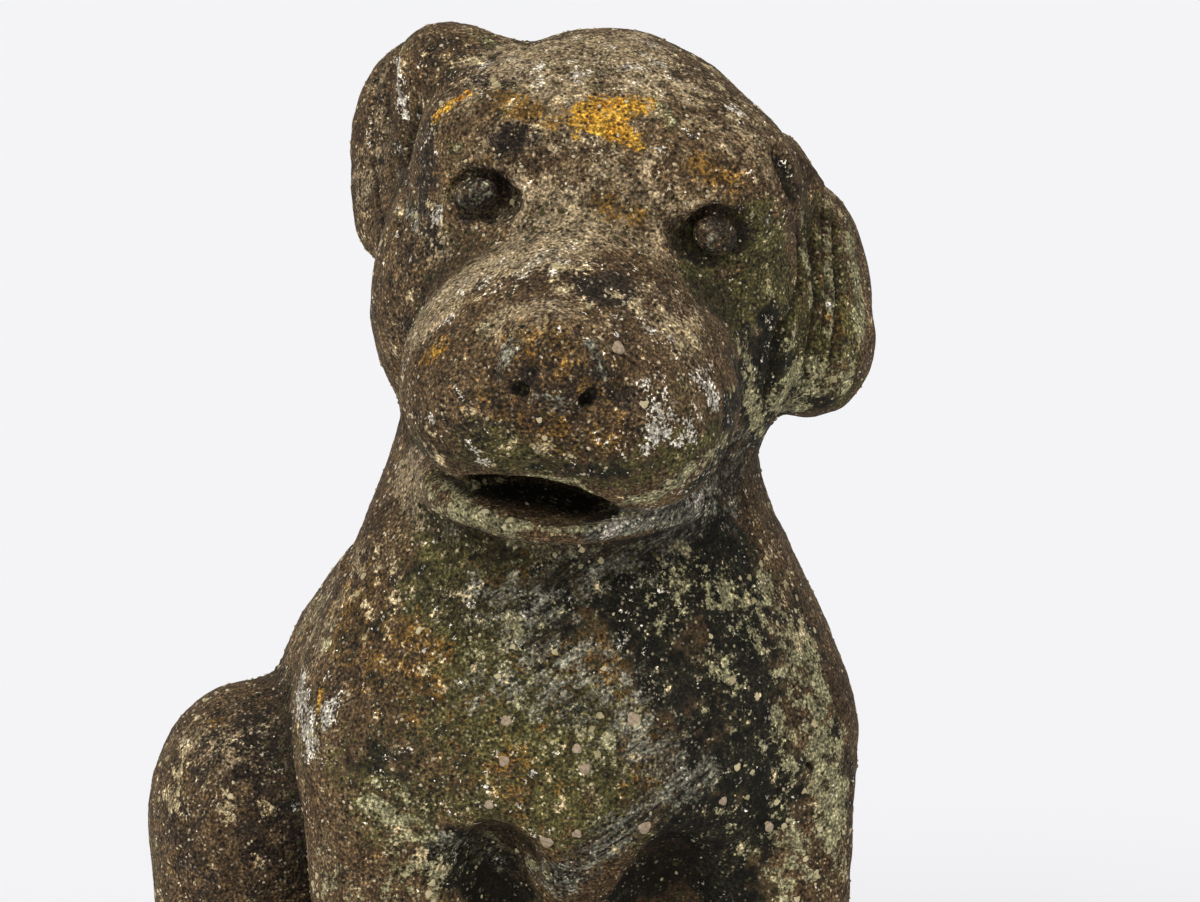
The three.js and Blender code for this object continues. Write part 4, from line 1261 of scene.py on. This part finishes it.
LOWEST_GROWTH, OVERHANG = 3 * MM, -0.75  # nothing grows lower, or on what faces down more than this
off_ground = (places[:, 2] > LOWEST_GROWTH) & (normals[:, 2] > OVERHANG)
bare = 1 - read_weight("algae_and_shade")
write_weight("grain_share", off_ground * (0.25 + 0.75 * read_weight("sand")) * bare)
write_weight("crust_share", off_ground * (0.03 + read_weight("crust") + 0.4 * read_weight("cream")))
damp = 0.15 + read_weight("moss") + read_weight("soot_and_shade")
# Painted shade as well as moss: the crumbs go only into small hollows
write_weight("crumb_share", off_ground * damp * (hollow > IN_A_HOLLOW))
print(off_ground.sum(), "of", len(places), "points can carry growths")

# %% [markdown]
# The round spots are too few and too big for scattering: on a curved cheek a flat disc would hang
# over at its rim. Each is built point by point instead, with every point set down on the stone.

# %% Round spots, each draped on the stone where it grows
SPOTS = [(634, 719), (577, 749), (585, 769), (504, 761), (506, 721), (489, 805), (577, 834), (546, 843),
         (645, 828), (723, 801), (769, 827), (619, 347)]
SPOT_RADIUS, SPOT_THICKNESS, SPOT_RIM = 2.3 * MM, 0.35 * MM, 14
SPOT_WAVE, SPOT_UNEVENNESS = 0.12, 0.08  # of the radius: three broad waves round the rim, and chance


def draped_spot(middle, normal, radius, chance):
    """A closed round crust whose every point is set off from the stone just below it."""
    across = np.cross(normal, (0.3, 0.2, 0.9))
    across /= np.linalg.norm(across)
    along = np.cross(normal, across)
    rings = []
    for share, lift in ((1.0, -0.6), (0.75, 0.8), (0.4, 1.0)):
        for k in range(SPOT_RIM):
            angle = 2 * math.pi * k / SPOT_RIM
            wave = SPOT_WAVE * math.sin(3 * angle + middle[0] * 900)
            waviness = wave + chance.uniform(-SPOT_UNEVENNESS, SPOT_UNEVENNESS)
            outwards = math.cos(angle) * across + math.sin(angle) * along
            place = Vector(middle + radius * share * (1 + waviness) * outwards)
            near, facing = weathered_tree.find_nearest(place)[:2]
            rings.append(np.array(near) + np.array(facing) * lift * SPOT_THICKNESS)
    rings.append(middle + normal * SPOT_THICKNESS)
    rings.append(middle - normal * SPOT_THICKNESS)
    faces = []
    for i in range(SPOT_RIM):
        k = (i + 1) % SPOT_RIM
        for ring in (0, SPOT_RIM):
            upper = ring + SPOT_RIM
            faces += [(ring + i, ring + k, upper + k), (ring + i, upper + k, upper + i)]
        faces += [(2 * SPOT_RIM + i, 2 * SPOT_RIM + k, 3 * SPOT_RIM), (k, i, 3 * SPOT_RIM + 1)]
    return rings, faces


weathered_tree = BVHTree.FromObject(stone, bpy.context.evaluated_depsgraph_get())
spot_chance = np.random.default_rng(41)
spots_seen = [trace([pixel])[0] for pixel in SPOTS]
unseen = np.flatnonzero(off_ground & (seen < 0.1))
SPOTS_UNSEEN = 30
spots_unseen = places[spot_chance.choice(unseen, SPOTS_UNSEEN, replace=False)]
spot_points, spot_faces = [], []
for place in [*spots_seen, *spots_unseen]:
    middle, normal = (np.array(v) for v in weathered_tree.find_nearest(Vector(place))[:2])
    radius = SPOT_RADIUS * spot_chance.uniform(0.7, 1.15)
    points, faces = draped_spot(middle, normal, radius, spot_chance)
    spot_faces += [tuple(len(spot_points) + v for v in face) for face in faces]
    spot_points += points
round_spots = new_object("round_lichen_spots", spot_points, spot_faces)
round_spots.data.materials.append(SPOT_FINISH)
recalculated = bmesh.new()
recalculated.from_mesh(round_spots.data)
bmesh.ops.recalc_face_normals(recalculated, faces=recalculated.faces)
recalculated.to_mesh(round_spots.data)
recalculated.free()
print("round spots:", len(spots_seen) + len(spots_unseen))

# %% Grains, crusts and crumbs
# Name, shape, weight, how many on a square cm, smallest and largest in mm, finish and seed
pieces = [
    round_spots,
    scatter("sand_grains", grain_shape, "grain_share", 4.2, 0.8, 1.9, GRAINS, 11),
    scatter("lichen_crusts", crust_shape, "crust_share", 2.6, 1.0, 3.6, CRUSTS, 23),
    # The crumbs are moss and painted shade in small hollows
    scatter("moss_crumbs", crumb_shape, "crumb_share", 6.0, 1.0, 2.6, MOSS_AND_SHADE_CRUMBS, 37),
]

# %% [markdown]
# ## Set and light
# The photograph has a pale plain ground and soft light from the front and a little to the left. A
# sun lamp with a wide angle acts as a big soft box: it models the form and leaves no hard shadow.

# %% Floor, light and colour rendering
FLOOR_SIZE = 400
bpy.ops.mesh.primitive_plane_add(size=FLOOR_SIZE)
floor = bpy.context.object
floor.name = "floor"
# Matt white paper: it gives no shine, only a faint shadow where the stone stands
ground = bpy.data.materials.new("pale_ground")
ground.use_nodes = True
paper = ground.node_tree.nodes["Principled BSDF"]
paper.inputs["Base Color"].default_value = linear("#f6f6f8")
paper.inputs["Roughness"].default_value = 1.0
paper.inputs["Specular IOR Level"].default_value = 0.0
floor.data.materials.append(ground)

scene = bpy.context.scene
scene.view_settings.view_transform = "Standard"
world = bpy.data.worlds.new("world")
scene.world = world
world.use_nodes = True
# The studio's wall is as pale as the ground where they meet, and dimmer higher up
BRIGHTNESS_AT_GROUND, BRIGHTNESS_ABOVE = 0.92, 0.485
WALL_FOOT, WALL_TOP = 0.03, 0.3  # heights of a direction, where straight up is 1
direction = add_node(world.node_tree, "ShaderNodeTexCoord").outputs["Generated"]
height = add_node(world.node_tree, "ShaderNodeSeparateXYZ", {0: direction}).outputs["Z"]
brightness = add_node(world.node_tree, "ShaderNodeMapRange",
                      {"Value": height, "From Min": WALL_FOOT, "From Max": WALL_TOP,
                       "To Min": BRIGHTNESS_AT_GROUND, "To Max": BRIGHTNESS_ABOVE})
background = world.node_tree.nodes["Background"]
background.inputs["Color"].default_value = (1, 1, 1, 1)
world.node_tree.links.new(brightness.outputs[0], background.inputs["Strength"])

light_data = bpy.data.lights.new("key_light", "SUN")
LIGHT_STRENGTH, LIGHT_WIDTH = 1.95, math.radians(45)
light_data.energy = LIGHT_STRENGTH
light_data.angle = LIGHT_WIDTH
key_light = bpy.data.objects.new("key_light", light_data)
LIGHT_FROM = Vector((-0.55, -0.75, 1.15))
key_light.location = LIGHT_FROM * 2
key_light.rotation_euler = (-LIGHT_FROM).to_track_quat("-Z", "Y").to_euler()
scene.collection.objects.link(key_light)
print("key light", LIGHT_STRENGTH, "over", BRIGHTNESS_ABOVE, "from all round")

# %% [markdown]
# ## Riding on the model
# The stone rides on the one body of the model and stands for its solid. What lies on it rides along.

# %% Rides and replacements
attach(stone, "root")
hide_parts("seated_dog")
for piece in pieces:
    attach(piece, "root")
